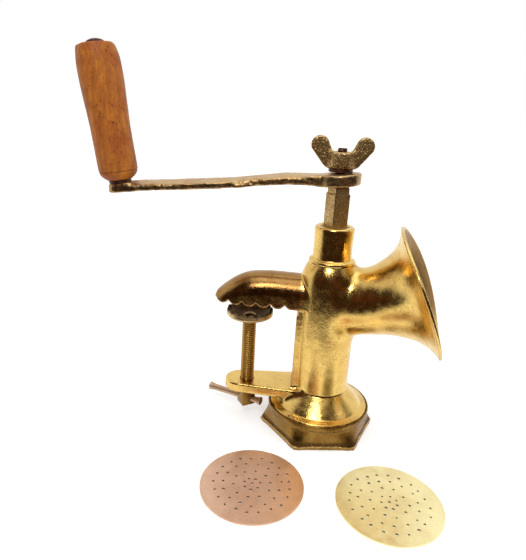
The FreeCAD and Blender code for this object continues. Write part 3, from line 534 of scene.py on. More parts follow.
class Tree:
    """A node tree under construction, with short calls for its nodes."""

    def node(self, kind, settings=None, **feeds):
        """A new node, its inputs fed by name with an underscore for each space."""
        made = self.tree.nodes.new(kind)
        for key, value in (settings or {}).items():
            setattr(made, key, value)
        self.fill(made, **feeds)
        return made

    def fill(self, made, **feeds):
        """Feed a node's inputs, named with an underscore for each space."""
        for title, value in feeds.items():
            self.feed(made.inputs[title.replace("_", " ")], value)

    def feed(self, socket, value):
        """Link an output to a socket, or set the socket's own value."""
        if hasattr(value, "links"):
            self.tree.links.new(value, socket)
        else:
            socket.default_value = value

    def reckon(self, operation, first, second, clamped=False):
        """The result of a sum on two values."""
        made = self.node("ShaderNodeMath", {"operation": operation, "use_clamp": clamped})
        self.feed(made.inputs[0], first)
        self.feed(made.inputs[1], second)
        return made.outputs[0]

    def seen_directly(self):
        """A share of 1 for the rays of the camera, of reflections and of see-through surfaces."""
        path = self.node("ShaderNodeLightPath").outputs
        seen = self.reckon("MAXIMUM", path["Is Camera Ray"], path["Is Glossy Ray"])
        return self.reckon("MAXIMUM", seen, path["Is Transmission Ray"])


class Finish(Tree):
    """A material under construction."""

    def __init__(self, name):
        self.material = bpy.data.materials.new(name)
        self.material.use_nodes = True
        self.tree = self.material.node_tree
        self.shader = self.tree.nodes["Principled BSDF"]
        self.coordinates = self.node("ShaderNodeTexCoord").outputs["Object"]

    def stretched(self, scale, turn):
        """The piece's coordinates, turned and scaled."""
        made = self.node("ShaderNodeMapping", Vector=self.coordinates, Scale=scale, Rotation=turn)
        return made.outputs["Vector"]

    def noise(self, scale, detail=2.0, roughness=0.5, distortion=0.0, vector=None):
        """Noise over the piece's coordinates, or over a vector."""
        made = self.node("ShaderNodeTexNoise", Vector=self.coordinates if vector is None else vector,
                         Scale=scale, Detail=detail, Roughness=roughness, Distortion=distortion)
        return made.outputs["Fac"]

    def between(self, value, low, high, start=0.0, end=1.0):
        """A value's way from low to high, laid out from start to end."""
        made = self.node("ShaderNodeMapRange", Value=value, From_Min=low, From_Max=high,
                         To_Min=start, To_Max=end)
        return made.outputs["Result"]

    def sum(self, operation, first, second):
        """The result of a sum on two shares, kept from 0 to 1."""
        return self.reckon(operation, first, second, clamped=True)

    def mixed(self, share, first, second):
        """The first colour with a share of the second over it."""
        made = self.node("ShaderNodeMix", {"data_type": "RGBA"}, Factor=share)
        self.feed(made.inputs[6], first)
        self.feed(made.inputs[7], second)
        return made.outputs[2]

    def share_of(self, title):
        """A share that the mesh carries."""
        return self.node("ShaderNodeAttribute", {"attribute_name": title}).outputs["Fac"]

    def bump(self, height, distance, under=None):
        """A normal that follows a height, on top of the normal under it."""
        made = self.node("ShaderNodeBump", Strength=1.0, Distance=distance, Height=height)
        if under is not None:
            self.feed(made.inputs["Normal"], under)
        return made.outputs["Normal"]


WHITE = (1.0, 1.0, 1.0, 1.0)
BLACK = (0.0, 0.0, 0.0, 1.0)
RUBBED_BRASS = (0.80, 0.52, 0.20, 1.0)
# Dull brown painted as shade inside the horn
LINING_SHADE_BROWN = (0.20, 0.088, 0.022, 1.0)
BURNT_WOOD = (0.035, 0.012, 0.005, 1.0)


def solid(rgb):
    """A colour as a socket takes it, without transparency."""
    return (*rgb, 1.0)


def browner(tone):
    """A brass tone as it is where the metal has toned."""
    return (tone[0] * 0.72, tone[1] * 0.6, tone[2] * 0.5)


def brightened(tone, gain):
    """A metal's tone brightened by a gain, for rubbed edges and for painted glints."""
    return tuple(min(1.0, channel * gain) for channel in tone)


def brass_finish(name, bright, toned, soot_and_shade, gloss, dull, speckle, waves=0.00035, grain=0.00004,
                 toning=0.5, hood=None, wear=0.0):
    """Cast or sheet brass: toned patches, tarnished crevices and specks, hand-polished waves; on the discs
    the crevice share is painted shade on the holes' walls, and inside the horn the lining share is painted
    shade.
    """
    finish = Finish(name)
    patches = finish.noise(45.0, 3.0, 0.55, 0.6)
    colour_now = finish.mixed(finish.between(patches, 0.42, 0.66, 0.0, toning), solid(bright), solid(toned))
    patina = finish.share_of("patina")
    if hood is not None:
        skin = finish.mixed(finish.between(patches, 0.4, 0.6), solid(hood), solid(browner(hood)))
        colour_now = finish.mixed(patina, colour_now, skin)
    fine = finish.noise(950.0, 4.0, 0.65)
    specks = finish.between(fine, 0.55, 0.66, 0.0, speckle)
    clusters = finish.between(finish.noise(130.0, 3.0), 0.38, 0.60)
    # The crevice share darkens with soot: tarnish in the casting's hollows, and painted shade on the discs'
    # hole walls.
    crevice = finish.between(finish.share_of("crevice"), 0.22, 0.85, 0.0, 0.88)
    crevice_tarnish_and_hole_shade = finish.sum("MULTIPLY", crevice, finish.between(fine, 0.25, 0.6, 0.35, 1.0))
    dark = finish.sum("MAXIMUM", finish.sum("MULTIPLY", specks, clusters), crevice_tarnish_and_hole_shade)
    colour_now = finish.mixed(dark, colour_now, solid(soot_and_shade))
    # Painted shade inside the horn: its lining is darkened to a dull brown and made rougher.
    shaded_lining = finish.share_of("soil")
    lining = finish.sum("MULTIPLY", shaded_lining, finish.between(patches, 0.3, 0.7, 0.95, 0.7))
    colour_now = finish.mixed(lining, colour_now, LINING_SHADE_BROWN)
    if wear:
        worn = finish.between(finish.share_of("edge"), 0.35, 0.8, 0.0, wear)
        worn = finish.sum("MULTIPLY", worn, finish.between(fine, 0.3, 0.6, 0.3, 1.0))
        colour_now = finish.mixed(worn, colour_now, RUBBED_BRASS)
    rough = finish.between(finish.noise(210.0, 4.0, 0.6), 0.35, 0.7, gloss, dull)
    for share, gain in ((patina, 0.02), (shaded_lining, 0.2), (dark, 0.35)):
        rough = finish.sum("ADD", rough, finish.sum("MULTIPLY", share, gain))
    broad = finish.bump(finish.noise(70.0, 3.0, 0.5), waves)
    finish.fill(finish.shader, Base_Color=colour_now, Metallic=1.0, Roughness=rough,
                Normal=finish.bump(finish.noise(1300.0, 3.0, 0.6), grain, broad))
    return finish.material


def grainy_finish(name, bright, soot_and_shade, depth, scale, pitting):
    """Sand-cast metal: grain tops painted bright as glints over dark pits, with rubbed edges."""
    finish = Finish(name)
    grains = finish.noise(scale, 3.0, 0.6)
    coarse = finish.noise(scale * 0.35, 3.0, 0.6)
    height = finish.sum("MULTIPLY", finish.sum("ADD", grains, finish.sum("MULTIPLY", coarse, 0.6)), 0.62)
    toning = finish.between(finish.noise(60.0, 3.0), 0.35, 0.65)
    glint_and_rubbed = solid(brightened(bright, 1.9))
    colour_now = finish.mixed(toning, solid(bright), solid(browner(bright)))
    colour_now = finish.mixed(finish.between(height, 0.42, 0.54, pitting, 0.0), colour_now, solid(soot_and_shade))
    # Painted highlight: the highest grains are brightened as glints.
    colour_now = finish.mixed(finish.between(height, 0.56, 0.66, 0.0, 0.8), colour_now, glint_and_rubbed)
    colour_now = finish.mixed(finish.between(finish.share_of("edge"), 0.45, 0.85, 0.0, 0.6), colour_now, glint_and_rubbed)
    finish.fill(finish.shader, Base_Color=colour_now, Metallic=1.0,
                Roughness=finish.between(height, 0.4, 0.65, 0.62, 0.30), Normal=finish.bump(height, depth))
    return finish.material


def bronze_finish(name, bright, soot_and_shade):
    """The arm's dull bronze: dark blotches, faint on the top and full on the sides as painted shade, with
    worn and chipped edges.
    """
    finish = Finish(name)
    grains = finish.noise(620.0, 4.0, 0.65)
    blotches = finish.noise(85.0, 4.0, 0.6, 1.0)
    upright = finish.node("ShaderNodeSeparateXYZ")
    finish.feed(upright.inputs[0], finish.node("ShaderNodeNewGeometry").outputs["Normal"])
    facing_up = finish.between(upright.outputs["Z"], 0.2, 0.8)
    cover = finish.sum("ADD", finish.sum("MULTIPLY", blotches, 0.7), finish.sum("MULTIPLY", grains, 0.4))
    # Painted shade: the blotches darken the sides fully and the top only a little, so the top reads lit; the
    # blotches themselves are dirt.
    dirt_and_side_shade = finish.sum("MULTIPLY", finish.between(cover, 0.48, 0.62, 0.66, 0.0),
                      finish.between(facing_up, 0.0, 1.0, 1.0, 0.18))
    toning = finish.between(blotches, 0.4, 0.65)
    colour_now = finish.mixed(toning, solid(bright), solid(browner(bright)))
    colour_now = finish.mixed(dirt_and_side_shade, colour_now, solid(soot_and_shade))
    worn = finish.between(finish.share_of("edge"), 0.38, 0.75, 0.0, 0.85)
    worn = finish.sum("MULTIPLY", worn, finish.between(grains, 0.35, 0.6, 0.2, 1.0))
    colour_now = finish.mixed(worn, colour_now, solid(brightened(bright, 1.7)))
    broad = finish.bump(finish.noise(160.0, 2.0), 0.0007)
    finish.fill(finish.shader, Base_Color=colour_now, Metallic=1.0,
                Roughness=finish.between(grains, 0.35, 0.7, 0.28, 0.5),
                Normal=finish.bump(grains, 0.00016, broad))
    return finish.material


def steel_finish(name, tone):
    """Blackened steel with a little brown and rubbed edges."""
    finish = Finish(name)
    patches = finish.noise(260.0, 4.0, 0.6)
    brown = (tone[0] * 2.4, tone[1] * 1.7, tone[2] * 1.2)
    finish.fill(finish.shader, Metallic=0.85, Roughness=finish.between(patches, 0.3, 0.7, 0.3, 0.55),
                Base_Color=finish.mixed(finish.between(patches, 0.4, 0.65), solid(tone), solid(brown)),
                Normal=finish.bump(finish.noise(1500.0, 2.0), 0.00005))
    return finish.material


def wood_finish(name, light, dark):
    """Oiled turned wood: long grain, short dark pores, stains and blackened grooves."""
    finish = Finish(name)
    turn = (0.0, LEAN, 0.0)
    grain = finish.noise(1.0, 5.0, 0.6, 0.5, finish.stretched((520.0, 520.0, 34.0), turn))
    bands = finish.noise(1.0, 4.0, 0.6, 1.5, finish.stretched((120.0, 120.0, 38.0), turn))
    stains = finish.noise(48.0, 5.0, 0.65, 1.2)
    pores = finish.noise(1.0, 2.0, 0.5, 0.0, finish.stretched((1250.0, 1250.0, 480.0), turn))
    share = finish.sum("ADD", finish.sum("MULTIPLY", grain, 0.45), finish.sum("MULTIPLY", bands, 0.55))
    colour_now = finish.mixed(finish.between(share, 0.38, 0.66), solid(light), solid(dark))
    reddish = (light[0] * 0.62, light[1] * 0.40, light[2] * 0.35)
    colour_now = finish.mixed(finish.between(stains, 0.44, 0.64, 0.0, 0.85), colour_now, solid(reddish))
    flecks = finish.between(pores, 0.60, 0.67, 0.0, 0.7)
    flecks = finish.sum("MULTIPLY", flecks, finish.between(stains, 0.35, 0.55, 0.35, 1.0))
    grooves = finish.between(finish.share_of("groove"), 0.0, 1.0, 0.0, 0.75)
    colour_now = finish.mixed(finish.sum("MAXIMUM", flecks, grooves), colour_now, BURNT_WOOD)
    finish.fill(finish.shader, Base_Color=colour_now, Specular_IOR_Level=0.28,
                Roughness=finish.between(grain, 0.3, 0.7, 0.42, 0.6),
                Normal=finish.bump(pores, 0.00008, finish.bump(grain, 0.00018)))
    return finish.material


FINISHES = {}


def make_finishes():
    """Make every finish of the press and keep it by its name."""
    chosen = bpy.context.scene.press_colours
    tones = SimpleNamespace(**{name: tuple(getattr(chosen, name)) for name in FinishColours.__annotations__})
    soot_and_shade = tones.soot_and_shade

    def brass(name, bright, gloss, dull, speckle, toned=None, **more):
        toned = toned or browner(bright)
        FINISHES[name] = brass_finish(name, bright, toned, soot_and_shade, gloss, dull, speckle, **more)

    brass("polished brass", tones.brass, 0.10, 0.26, 0.7, toned=tones.warm_brass, waves=0.00038,
          grain=0.00009, hood=tones.hood)
    brass("aged brass", tones.aged, 0.20, 0.40, 0.8, waves=0.0004, grain=0.00006, toning=0.9, wear=0.9)
    brass("threaded brass", tones.warm_brass, 0.25, 0.4, 0.4)
    brass("pad brass", tones.bronze, 0.28, 0.45, 0.8, toned=browner(tones.aged), waves=0.0004,
          grain=0.00008, toning=0.9)
    brass("copper rod", tones.bar, 0.45, 0.6, 0.4)
    brass("copper sheet", tones.copper, 0.36, 0.5, 0.3, waves=0.0003, toning=0.4)
    brass("pale sheet", tones.pale, 0.32, 0.45, 0.25, waves=0.0003, grain=0.00003, toning=0.35)
    for name, depth, scale, pitting in (
        ("sand-cast brass", 0.0002, 1400.0, 0.68), ("shaft brass", 0.0001, 2100.0, 0.55),
    ):
        FINISHES[name] = grainy_finish(name, tones.sand_cast, soot_and_shade, depth, scale, pitting)
    FINISHES["cast bronze"] = bronze_finish("cast bronze", tones.bronze, soot_and_shade)
    FINISHES["dark steel"] = steel_finish("dark steel", tones.steel)
    FINISHES["turned wood"] = wood_finish("turned wood", tones.wood_light, tones.wood_dark)


# Geometry node trees


# Each ring of holes in a punched disc: its count and its radius in millimetres
RINGS = {
    "First Ring": (7, 5.6),
    "Second Ring": (10, 12.4),
    "Third Ring": (15, 19.6),
    "Fourth Ring": (21, 25.7),
}


class Growth(Tree):
    """A geometry node tree under construction, with named inputs."""

    def __init__(self, name, lengths, counts=()):
        self.tree = bpy.data.node_groups.new(name, "GeometryNodeTree")
        self.sockets = {}
        kinds = {**dict.fromkeys(lengths, "NodeSocketFloat"), **dict.fromkeys(counts, "NodeSocketInt"),
                 "Material": "NodeSocketMaterial"}
        for title, kind in kinds.items():
            socket = self.tree.interface.new_socket(title, in_out="INPUT", socket_type=kind)
            self.sockets[title] = socket.identifier
        self.tree.interface.new_socket("Geometry", in_out="OUTPUT", socket_type="NodeSocketGeometry")
        self.inputs = self.node("NodeGroupInput")
        self.outputs = self.node("NodeGroupOutput")

    def given(self, title):
        """The tree's input of a name."""
        return self.inputs.outputs[title]

    def vector(self, x=0.0, y=0.0, z=0.0):
        """A vector of three values."""
        return self.node("ShaderNodeCombineXYZ", X=x, Y=y, Z=z).outputs[0]

    def joined(self, *parts):
        """Several geometries in one."""
        made = self.node("GeometryNodeJoinGeometry")
        for part in parts:
            self.tree.links.new(part, made.inputs[0])
        return made.outputs[0]

    def lifted(self, geometry, height):
        """A geometry moved up by a height."""
        shift = self.vector(z=height)
        return self.node("GeometryNodeTransform", Geometry=geometry, Translation=shift).outputs[0]

    def close(self, geometry):
        """End the tree with real meshes in its material."""
        real = self.node("GeometryNodeRealizeInstances", Geometry=geometry).outputs[0]
        covered = self.node("GeometryNodeSetMaterial", Geometry=real, Material=self.given("Material"))
        self.tree.links.new(covered.outputs[0], self.outputs.inputs[0])


def grown(name, growth, values, place):
    """A plain mesh object of a tree with the given input values."""
    holder = new_object(name + "_holder", bpy.data.meshes.new(name + "_holder"))
    modifier = holder.modifiers.new("Growth", "NODES")
    modifier.node_group = growth.tree
    for title, value in values.items():
        modifier[growth.sockets[title]] = value
    mesh = plain_mesh(holder)
    mesh.name = name
    bpy.data.objects.remove(holder)
    mesh.transform(place)
    return new_object(name, mesh)


def darkened(piece, share):
    """Mark a grown piece's faces with how deep in a hole or groove they lie, from 0 to 1."""
    mesh = piece.data
    centres = np.empty(len(mesh.polygons) * 3, np.float32)
    mesh.polygons.foreach_get("center", centres)
    normals = np.empty(len(mesh.polygons) * 3, np.float32)
    mesh.polygons.foreach_get("normal", normals)
    layer = mesh.attributes.new("crevice", "FLOAT", "FACE")
    values = share(centres.reshape(-1, 3) / MM, normals.reshape(-1, 3))
    layer.data.foreach_set("value", np.clip(values, 0.0, 1.0).astype(np.float32))


def groove_depth(radius, pitch, x=0.0):
    """A share of how deep a face lies in a thread of a radius and pitch about an upright line."""
    def share(centres, normals):
        reach = np.hypot(centres[:, 0] - x, centres[:, 1])
        return (radius - 0.06 * pitch - reach) / (0.2 * pitch)
    return share


def hole_wall_shade(centre, reach):
    """A share of 1, painted shade, on the walls of holes punched within a reach of a disc's centre."""
    def share(centres, normals):
        within = np.hypot(centres[:, 0] - centre.x, centres[:, 1] - centre.y) < reach
        below = centres[:, 2] < centre.z + 0.47
        return np.where(within & below & (np.abs(normals[:, 2]) < 0.95), 1.0, 0.0)
    return share


def thread_growth():
    """A screw thread: one ridge swept up a helix round a core."""
    growth = Growth("Screw thread", ("Radius", "Pitch", "Length"))
    radius = growth.given("Radius")
    pitch = growth.given("Pitch")
    height = growth.given("Length")
    half = growth.reckon("MULTIPLY", pitch, 0.5)
    middle = growth.reckon("SUBTRACT", radius, half)
    run = growth.reckon("SUBTRACT", height, pitch)
    spiral = growth.node("GeometryNodeCurveSpiral", Resolution=40, Height=run, Start_Radius=middle,
                         End_Radius=middle, Rotations=growth.reckon("DIVIDE", run, pitch))
    upright = growth.node("GeometryNodeSetCurveNormal", {"mode": "Z_UP"}, Curve=spiral.outputs[0])
    ridge = growth.node("GeometryNodeCurvePrimitiveCircle", Resolution=8, Radius=half)
    swept = growth.node("GeometryNodeCurveToMesh", Curve=upright.outputs[0],
                        Profile_Curve=ridge.outputs[0], Fill_Caps=True)
    core_radius = growth.reckon("SUBTRACT", radius, growth.reckon("MULTIPLY", half, 0.75))
    core = growth.node("GeometryNodeMeshCylinder", Vertices=48, Radius=core_radius, Depth=height)
    parts = growth.joined(growth.lifted(swept.outputs[0], half),
                          growth.lifted(core.outputs["Mesh"], growth.reckon("MULTIPLY", height, 0.5)))
    growth.close(growth.node("GeometryNodeSetShadeSmooth", Geometry=parts).outputs[0])
    return growth


def sheet_growth():
    """A punched disc: rings of straying holes with a burr round each."""
    lengths = ("Radius", "Thickness", "Hole Radius", "Burr", "Wander", *RINGS)
    growth = Growth("Punched sheet", lengths, counts=("Seed",))
    thickness = growth.given("Thickness")
    hole = growth.given("Hole Radius")
    rise = growth.given("Burr")
    wander = growth.given("Wander")
    seed = growth.given("Seed")
    parts = [growth.node("GeometryNodePoints", Count=1).outputs[0]]
    for title, (count, _) in RINGS.items():
        circle = growth.node("GeometryNodeMeshCircle", Vertices=count, Radius=growth.given(title))
        parts.append(growth.node("GeometryNodeMeshToPoints", Mesh=circle.outputs[0]).outputs[0])
    points = growth.joined(*parts)
    back = growth.reckon("MULTIPLY", wander, -1.0)
    stray = growth.node("FunctionNodeRandomValue", {"data_type": "FLOAT_VECTOR"}, Seed=seed)
    growth.feed(stray.inputs[0], growth.vector(back, back))
    growth.feed(stray.inputs[1], growth.vector(wander, wander))
    strayed = growth.node("GeometryNodeSetPosition", Geometry=points, Offset=stray.outputs[0]).outputs[0]
    spread = growth.node("FunctionNodeRandomValue", {"data_type": "FLOAT"}, Seed=seed)
    growth.feed(spread.inputs[2], 0.75)
    growth.feed(spread.inputs[3], 1.2)
    width = spread.outputs[1]
    depth = growth.reckon("MULTIPLY", thickness, 4.0)
    punch = growth.node("GeometryNodeMeshCone", Vertices=14, Depth=depth, Radius_Bottom=0.0,
                        Radius_Top=growth.reckon("MULTIPLY", hole, 2.1))
    sunk = growth.lifted(punch.outputs["Mesh"], growth.reckon("MULTIPLY", depth, -0.5))
    punches = growth.node("GeometryNodeInstanceOnPoints", Points=strayed, Instance=sunk,
                          Scale=growth.vector(width, width, 1.0))
    holes = growth.node("GeometryNodeRealizeInstances", Geometry=punches.outputs[0]).outputs[0]
    plate = growth.node("GeometryNodeMeshCylinder", Vertices=180, Radius=growth.given("Radius"),
                        Depth=thickness)
    punched = growth.node("GeometryNodeMeshBoolean", {"operation": "DIFFERENCE"})
    growth.feed(punched.inputs[0], plate.outputs["Mesh"])
    growth.feed(punched.inputs[1], holes)
    rim = growth.node("GeometryNodeCurvePrimitiveCircle", Resolution=14,
                      Radius=growth.reckon("ADD", hole, rise))
    bead = growth.node("GeometryNodeCurvePrimitiveCircle", Resolution=6, Radius=rise)
    burr = growth.node("GeometryNodeCurveToMesh", Curve=rim.outputs[0], Profile_Curve=bead.outputs[0])
    burrs = growth.node("GeometryNodeInstanceOnPoints", Points=strayed, Instance=burr.outputs[0],
                        Scale=growth.vector(width, width, 0.8))
    half = growth.reckon("MULTIPLY", thickness, 0.5)
    top = growth.lifted(burrs.outputs[0], growth.reckon("MULTIPLY", half, 0.92))
    round_burrs = growth.node("GeometryNodeSetShadeSmooth", Geometry=top).outputs[0]
    growth.close(growth.joined(punched.outputs[0], round_burrs))
    return growth


# Fields of the press's own pieces


class CastingField:
    """The whole casting: barrel, horn, hood and lug, with their hollows."""

    web_half = 12.0  # half the width of the web in the throat
    web_reach = 22.6  # how far the web stands out from the barrel's axis
    first_cusp = 31.9  # how far out the first cusp of the hood's edge lies
    screw_hole = 5.55  # radius of the lug's hole
    lug_start = 10.0  # how far out the lug's outline starts, inside the tube
    lug_root = 17.0  # half the lug's width at its start
    lug_tip = 12.0  # radius of the lug's round end
    mouth_radius = 49.0  # radius of the horn's mouth, over its lip

    def __init__(self, sizes):
        self.s = s = sizes
        flange_rim = s.flange_radius - 1.6
        shell = [(-FAR, OUTLET_FACE), (s.thread_radius, OUTLET_FACE), (s.thread_radius, s.flange_foot),
                 (s.flange_radius - 0.6, s.flange_foot), (s.flange_radius, s.flange_foot + 0.6),
                 (s.flange_radius, s.flange_top - 1.0)]
        shell += bowed(shell[-1], (flange_rim, s.flange_top), 0.35, 4)
        shell += bowed(shell[-1], (s.flange_radius - 4.6, s.flange_top + 0.9), 0.1, 3)
        shell += bowed(shell[-1], (s.tube_radius + 1.2, s.dome_top - 0.6), 0.15, 14)
        shell += bowed(shell[-1], (s.tube_radius, s.dome_top + 1.6), -0.3, 4)
        shell += [(s.tube_radius, s.tube_top - 3)]
        shell += bowed(shell[-1], (s.bead_radius - 0.5, s.shoulder_top), 1.1, 14)
        shell += bowed(shell[-1], (s.neck_radius + 0.9, s.shoulder_top + 3.2), 1.0, 8)
        shell += bowed(shell[-1], (s.neck_radius - 0.1, s.shoulder_top + 5.2), -0.35, 5)
        shell += [(s.neck_radius - 0.35, NECK_TOP - 12), (s.neck_radius, NECK_TOP - 2.4)]
        shell += bowed(shell[-1], (s.neck_radius - 2.4, NECK_TOP), 0.75, 6)
        self.shell = shell + [(-FAR, NECK_TOP)]
        bore = s.tube_radius - s.tube_wall
        self.bore = [
            (-FAR, OUTLET_FACE - 20), (s.chamber_radius, OUTLET_FACE - 20),
            (s.chamber_radius, OUTLET_FACE + 4), (bore, OUTLET_FACE + 21), (bore, s.tube_top - 1),
            (s.neck_bore, s.tube_top - 1), (s.neck_bore, NECK_TOP - 0.6),
            (s.neck_bore + 8, NECK_TOP + 7.4), (-FAR, NECK_TOP + 7.4),
        ]
        # Reach along the horn's axis against the distance from it
        skin = flowing([(-4, 9), (4, 13.5), (12, 18.8), (19, 22.0), (26, 23.6), (34, 24.9), (44, 27),
                        (57, 32.5), (65.4, 39.2), (70.6, 46.8)])
        half_lip = s.lip / 2
        lip = (72.2, self.mouth_radius - half_lip)
        rim = [(lip[0] + half_lip * math.cos(turn), lip[1] + half_lip * math.sin(turn))
               for turn in np.linspace(math.radians(135), math.radians(-30), 8)]
        self.horn_skin = [(-4, -FAR)] + skin + rim + [(lip[0] + 0.4, 44.0), (lip[0] + 0.4, -FAR)]
        wall = s.horn_wall
        lining = flowing([(4, 9), (12, 18.6 - wall), (19, 22.0 - wall), (30, 24.2 - wall), (44, 27 - wall),
                          (58.0, 32.4 - wall), (67.4, 38.6 - wall + 0.5),
                          (lip[0] + 0.9, self.mouth_radius - s.lip - 0.6)])
        self.horn_lining = [(4, -FAR)] + lining + [(90, 60), (90, -FAR)]
        # Reach of the hood from the barrel's axis, half its width and the height of its crown
        self.hood = np.array(flowing([
            (0, 15.0, 24.2), (20, 15.0, 24.2), (40, 15.0, 24.7), (54, 14.9, 24.1), (62, 14.5, 22.5),
            (70, 13.3, 18.8), (78, 10.8, 13.0), (84, 7.4, 7.4), (86.5, 5.0, 4.0),
        ]))
        turn = s.horn_turn
        rise = s.horn_rise
        flat = math.cos(rise)
        self.along = np.array([flat * math.cos(turn), flat * math.sin(turn), math.sin(rise)])
        self.aside = np.array([-math.sin(turn), math.cos(turn), 0.0])
        self.above = np.cross(self.along, self.aside)
        tip = self.lug_tip
        run = LUG_REACH - tip
        self.lug = [(-self.lug_start, self.lug_root), (-run - 1.5, tip)]
        for step in range(1, 16):
            turn = math.pi * step / 16
            self.lug.append((-run - tip * math.sin(turn), tip * math.cos(turn)))
        self.lug += [(-run - 1.5, -tip), (-self.lug_start, -self.lug_root)]

    def horn_place(self, points):
        """Reach along the horn and distance from its axis, its mouth made flat and square."""
        s = self.s
        local = points - np.array([0.0, 0.0, s.horn_height])
        a = local @ self.along
        b = local @ self.aside
        c = local @ self.above
        ramp = smooth_step(30.0, 72.0, a)
        mouth = smooth_step(44.0, 72.0, a)
        a = a + c * np.tan(s.mouth_tilt * ramp)
        a = a - s.mouth_saddle * mouth * (b * b - c * c) / self.mouth_radius ** 2
        return a, np.hypot(b, c)

    def hood_distance(self, points, inset):
        """Distance to the hood's arch, or to its hollow with an inset."""
        reach = -points[:, 0]
        half = np.interp(reach, self.hood[:, 0], self.hood[:, 1]) - inset
        crown = JAW_FOOT + np.interp(reach, self.hood[:, 0], self.hood[:, 2]) - inset
        spring = crown - half
        across = np.abs(points[:, 1])
        arch = np.hypot(across, np.maximum(points[:, 2] - spring, 0.0)) - half
        arch = np.maximum(arch, -reach)
        return soft_common(arch, reach - (JAW_REACH - 0.4 - inset), 3.0)

    def hood_edge(self, points):
        """Height over the hood's scalloped lower edge."""
        s = self.s
        reach = -points[:, 0]
        phase = (reach - self.first_cusp) / s.scallop_pitch
        cusps = 1 - np.abs(np.sin(math.pi * phase))
        along = smooth_step(25.0, 30.0, reach)
        return points[:, 2] - (JAW_FOOT + s.scallop_depth * cusps ** 1.3 * along)

    def __call__(self, points):
        """Signed distance to the piece."""
        s = self.s
        radius = np.hypot(points[:, 0], points[:, 1])
        height = points[:, 2]
        shell = outline_distance(radius, height, self.shell)
        a, rho = self.horn_place(points)
        body = soft_union(shell, outline_distance(a, rho, self.horn_skin), s.fillet)
        web = np.maximum(np.abs(points[:, 1]) - self.web_half, -points[:, 0] - self.web_reach)
        web = np.maximum(web, np.maximum(height - JAW_FOOT - 3, LUG_TOP - 4 - height))
        web = np.maximum(web, points[:, 0])
        body = soft_union(body, web, 0.7)
        hood = soft_common(self.hood_distance(points, 0.0), -self.hood_edge(points), 1.5)
        body = soft_union(body, hood, 2.4)
        lug = outline_distance(points[:, 0], points[:, 1], self.lug)
        slab = np.abs(height - (LUG_TOP + LUG_FOOT) / 2) - (LUG_TOP - LUG_FOOT) / 2
        body = soft_union(body, soft_common(lug, slab, 3.0), 6.0)
        bore = outline_distance(radius, height, self.bore)
        hollow = soft_union(bore, outline_distance(a, rho, self.horn_lining), 4.0)
        body = soft_cut(body, hollow, 1.2)
        under = soft_common(self.hood_distance(points, s.jaw_wall), s.tube_radius + 2.2 - radius, 3.0)
        under = np.maximum(under, JAW_FOOT - 6 - height)
        body = soft_cut(body, under, 1.2)
        hole = np.hypot(points[:, 0] - SCREW_X, points[:, 1]) - self.screw_hole
        hole = np.maximum(hole, LUG_FOOT - 2 - height)
        hole = np.maximum(hole, height - LUG_TOP - 4)
        return soft_cut(body, hole, 0.9)

    def soil(self, points):
        """Share of painted shade on the horn's inner lining, fading out towards the lining's bottom."""
        a, rho = self.horn_place(points)
        inner = 1 - smooth_step(0.5, 1.0, np.abs(outline_distance(a, rho, self.horn_lining)))
        c = (points - np.array([0.0, 0.0, self.s.horn_height])) @ self.above
        deep = 1 - smooth_step(73.0, 74.5, a)
        return inner * smooth_step(12.0, 20.0, a) * deep * smooth_step(-44.0, -22.0, c)

    def marks(self, points, shares):
        """The hood's browner skin and the painted shade on the horn's inner lining."""
        return {"patina": self.patina(points), "soil": self.soil(points)}

    def patina(self, points):
        """Share of the hood's browner skin."""
        height = points[:, 2]
        over = smooth_step(JAW_FOOT - 3.0, JAW_FOOT, height) * (1 - smooth_step(126.0, 130.0, height))
        return over * smooth_step(self.s.tube_radius - 1.2, self.s.tube_radius + 0.6, -points[:, 0])


class NutField:
    """The ring nut: hexagonal foot sweeping up into a round collar."""

    thread = 37.2  # radius of the threaded bore
    clear = 38.9  # radius of the bore round the flange
    seat = 3.5  # height of the seat for the fitted disc
    lip_height = 17.9  # height of the middle of the collar's lip
    lip_half = 1.0  # half the height of the lip's upright side
    lip_round = 1.1  # radius of the lip's edge

    def __init__(self, sizes):
        self.s = s = sizes
        self.bore = [
            (-FAR, -10.0), (s.outlet_radius, -10.0), (s.outlet_radius, self.seat), (self.thread, self.seat),
            (self.thread, 16.1), (self.clear, 16.1), (self.clear, NUT_HEIGHT + 5), (-FAR, NUT_HEIGHT + 5),
        ]
        self.flat = s.nut_radius * math.cos(math.pi / 6)

    def marks(self, points, shares):
        """Rubbed rims, and a darker band on the skirt over the hexagonal edge."""
        height = points[:, 2]
        out = np.hypot(points[:, 0], points[:, 1]) > self.s.waist_radius - 0.4
        rim = 1 - smooth_step(0.2, 0.8, np.abs(height - self.s.plate + 0.2))
        band = smooth_step(self.s.plate - 0.1, self.s.plate + 0.3, height)
        band = band * (1 - smooth_step(4.0, 8.5, height))
        return {"edge": rim * out, "crevice": np.maximum(shares["crevice"], 0.85 * band * out)}

    def __call__(self, points):
        """Signed distance to the piece."""
        s = self.s
        radius = np.hypot(points[:, 0], points[:, 1])
        height = points[:, 2]
        turn = np.mod(np.arctan2(points[:, 1], points[:, 0]) - s.nut_turn, math.pi / 3) - math.pi / 6
        plate = np.abs(height - s.plate / 2) - s.plate / 2
        plate = soft_common(radius * np.cos(turn) - self.flat, plate, 0.9)
        share = np.clip((height - s.plate + 0.3) / (s.skirt_top - s.plate), 0.0, 1.0)
        corner = (0.5 - 0.5 * np.cos(6 * turn)) ** 2.2
        reach = s.waist_radius + (s.nut_radius - s.ledge - s.waist_radius) * corner * (1 - share) ** 1.45
        skirt = np.maximum((radius - reach) * 0.86, np.abs(height - 9.0) - 9.0)
        collar = np.hypot(np.maximum(radius - s.collar_radius + self.lip_round, 0.0),
                          np.maximum(np.abs(height - self.lip_height) - self.lip_half, 0.0))
        body = soft_union(np.minimum(plate, skirt), collar - self.lip_round, 3.2)
        return soft_cut(body, outline_distance(radius, height, self.bore), 0.7)


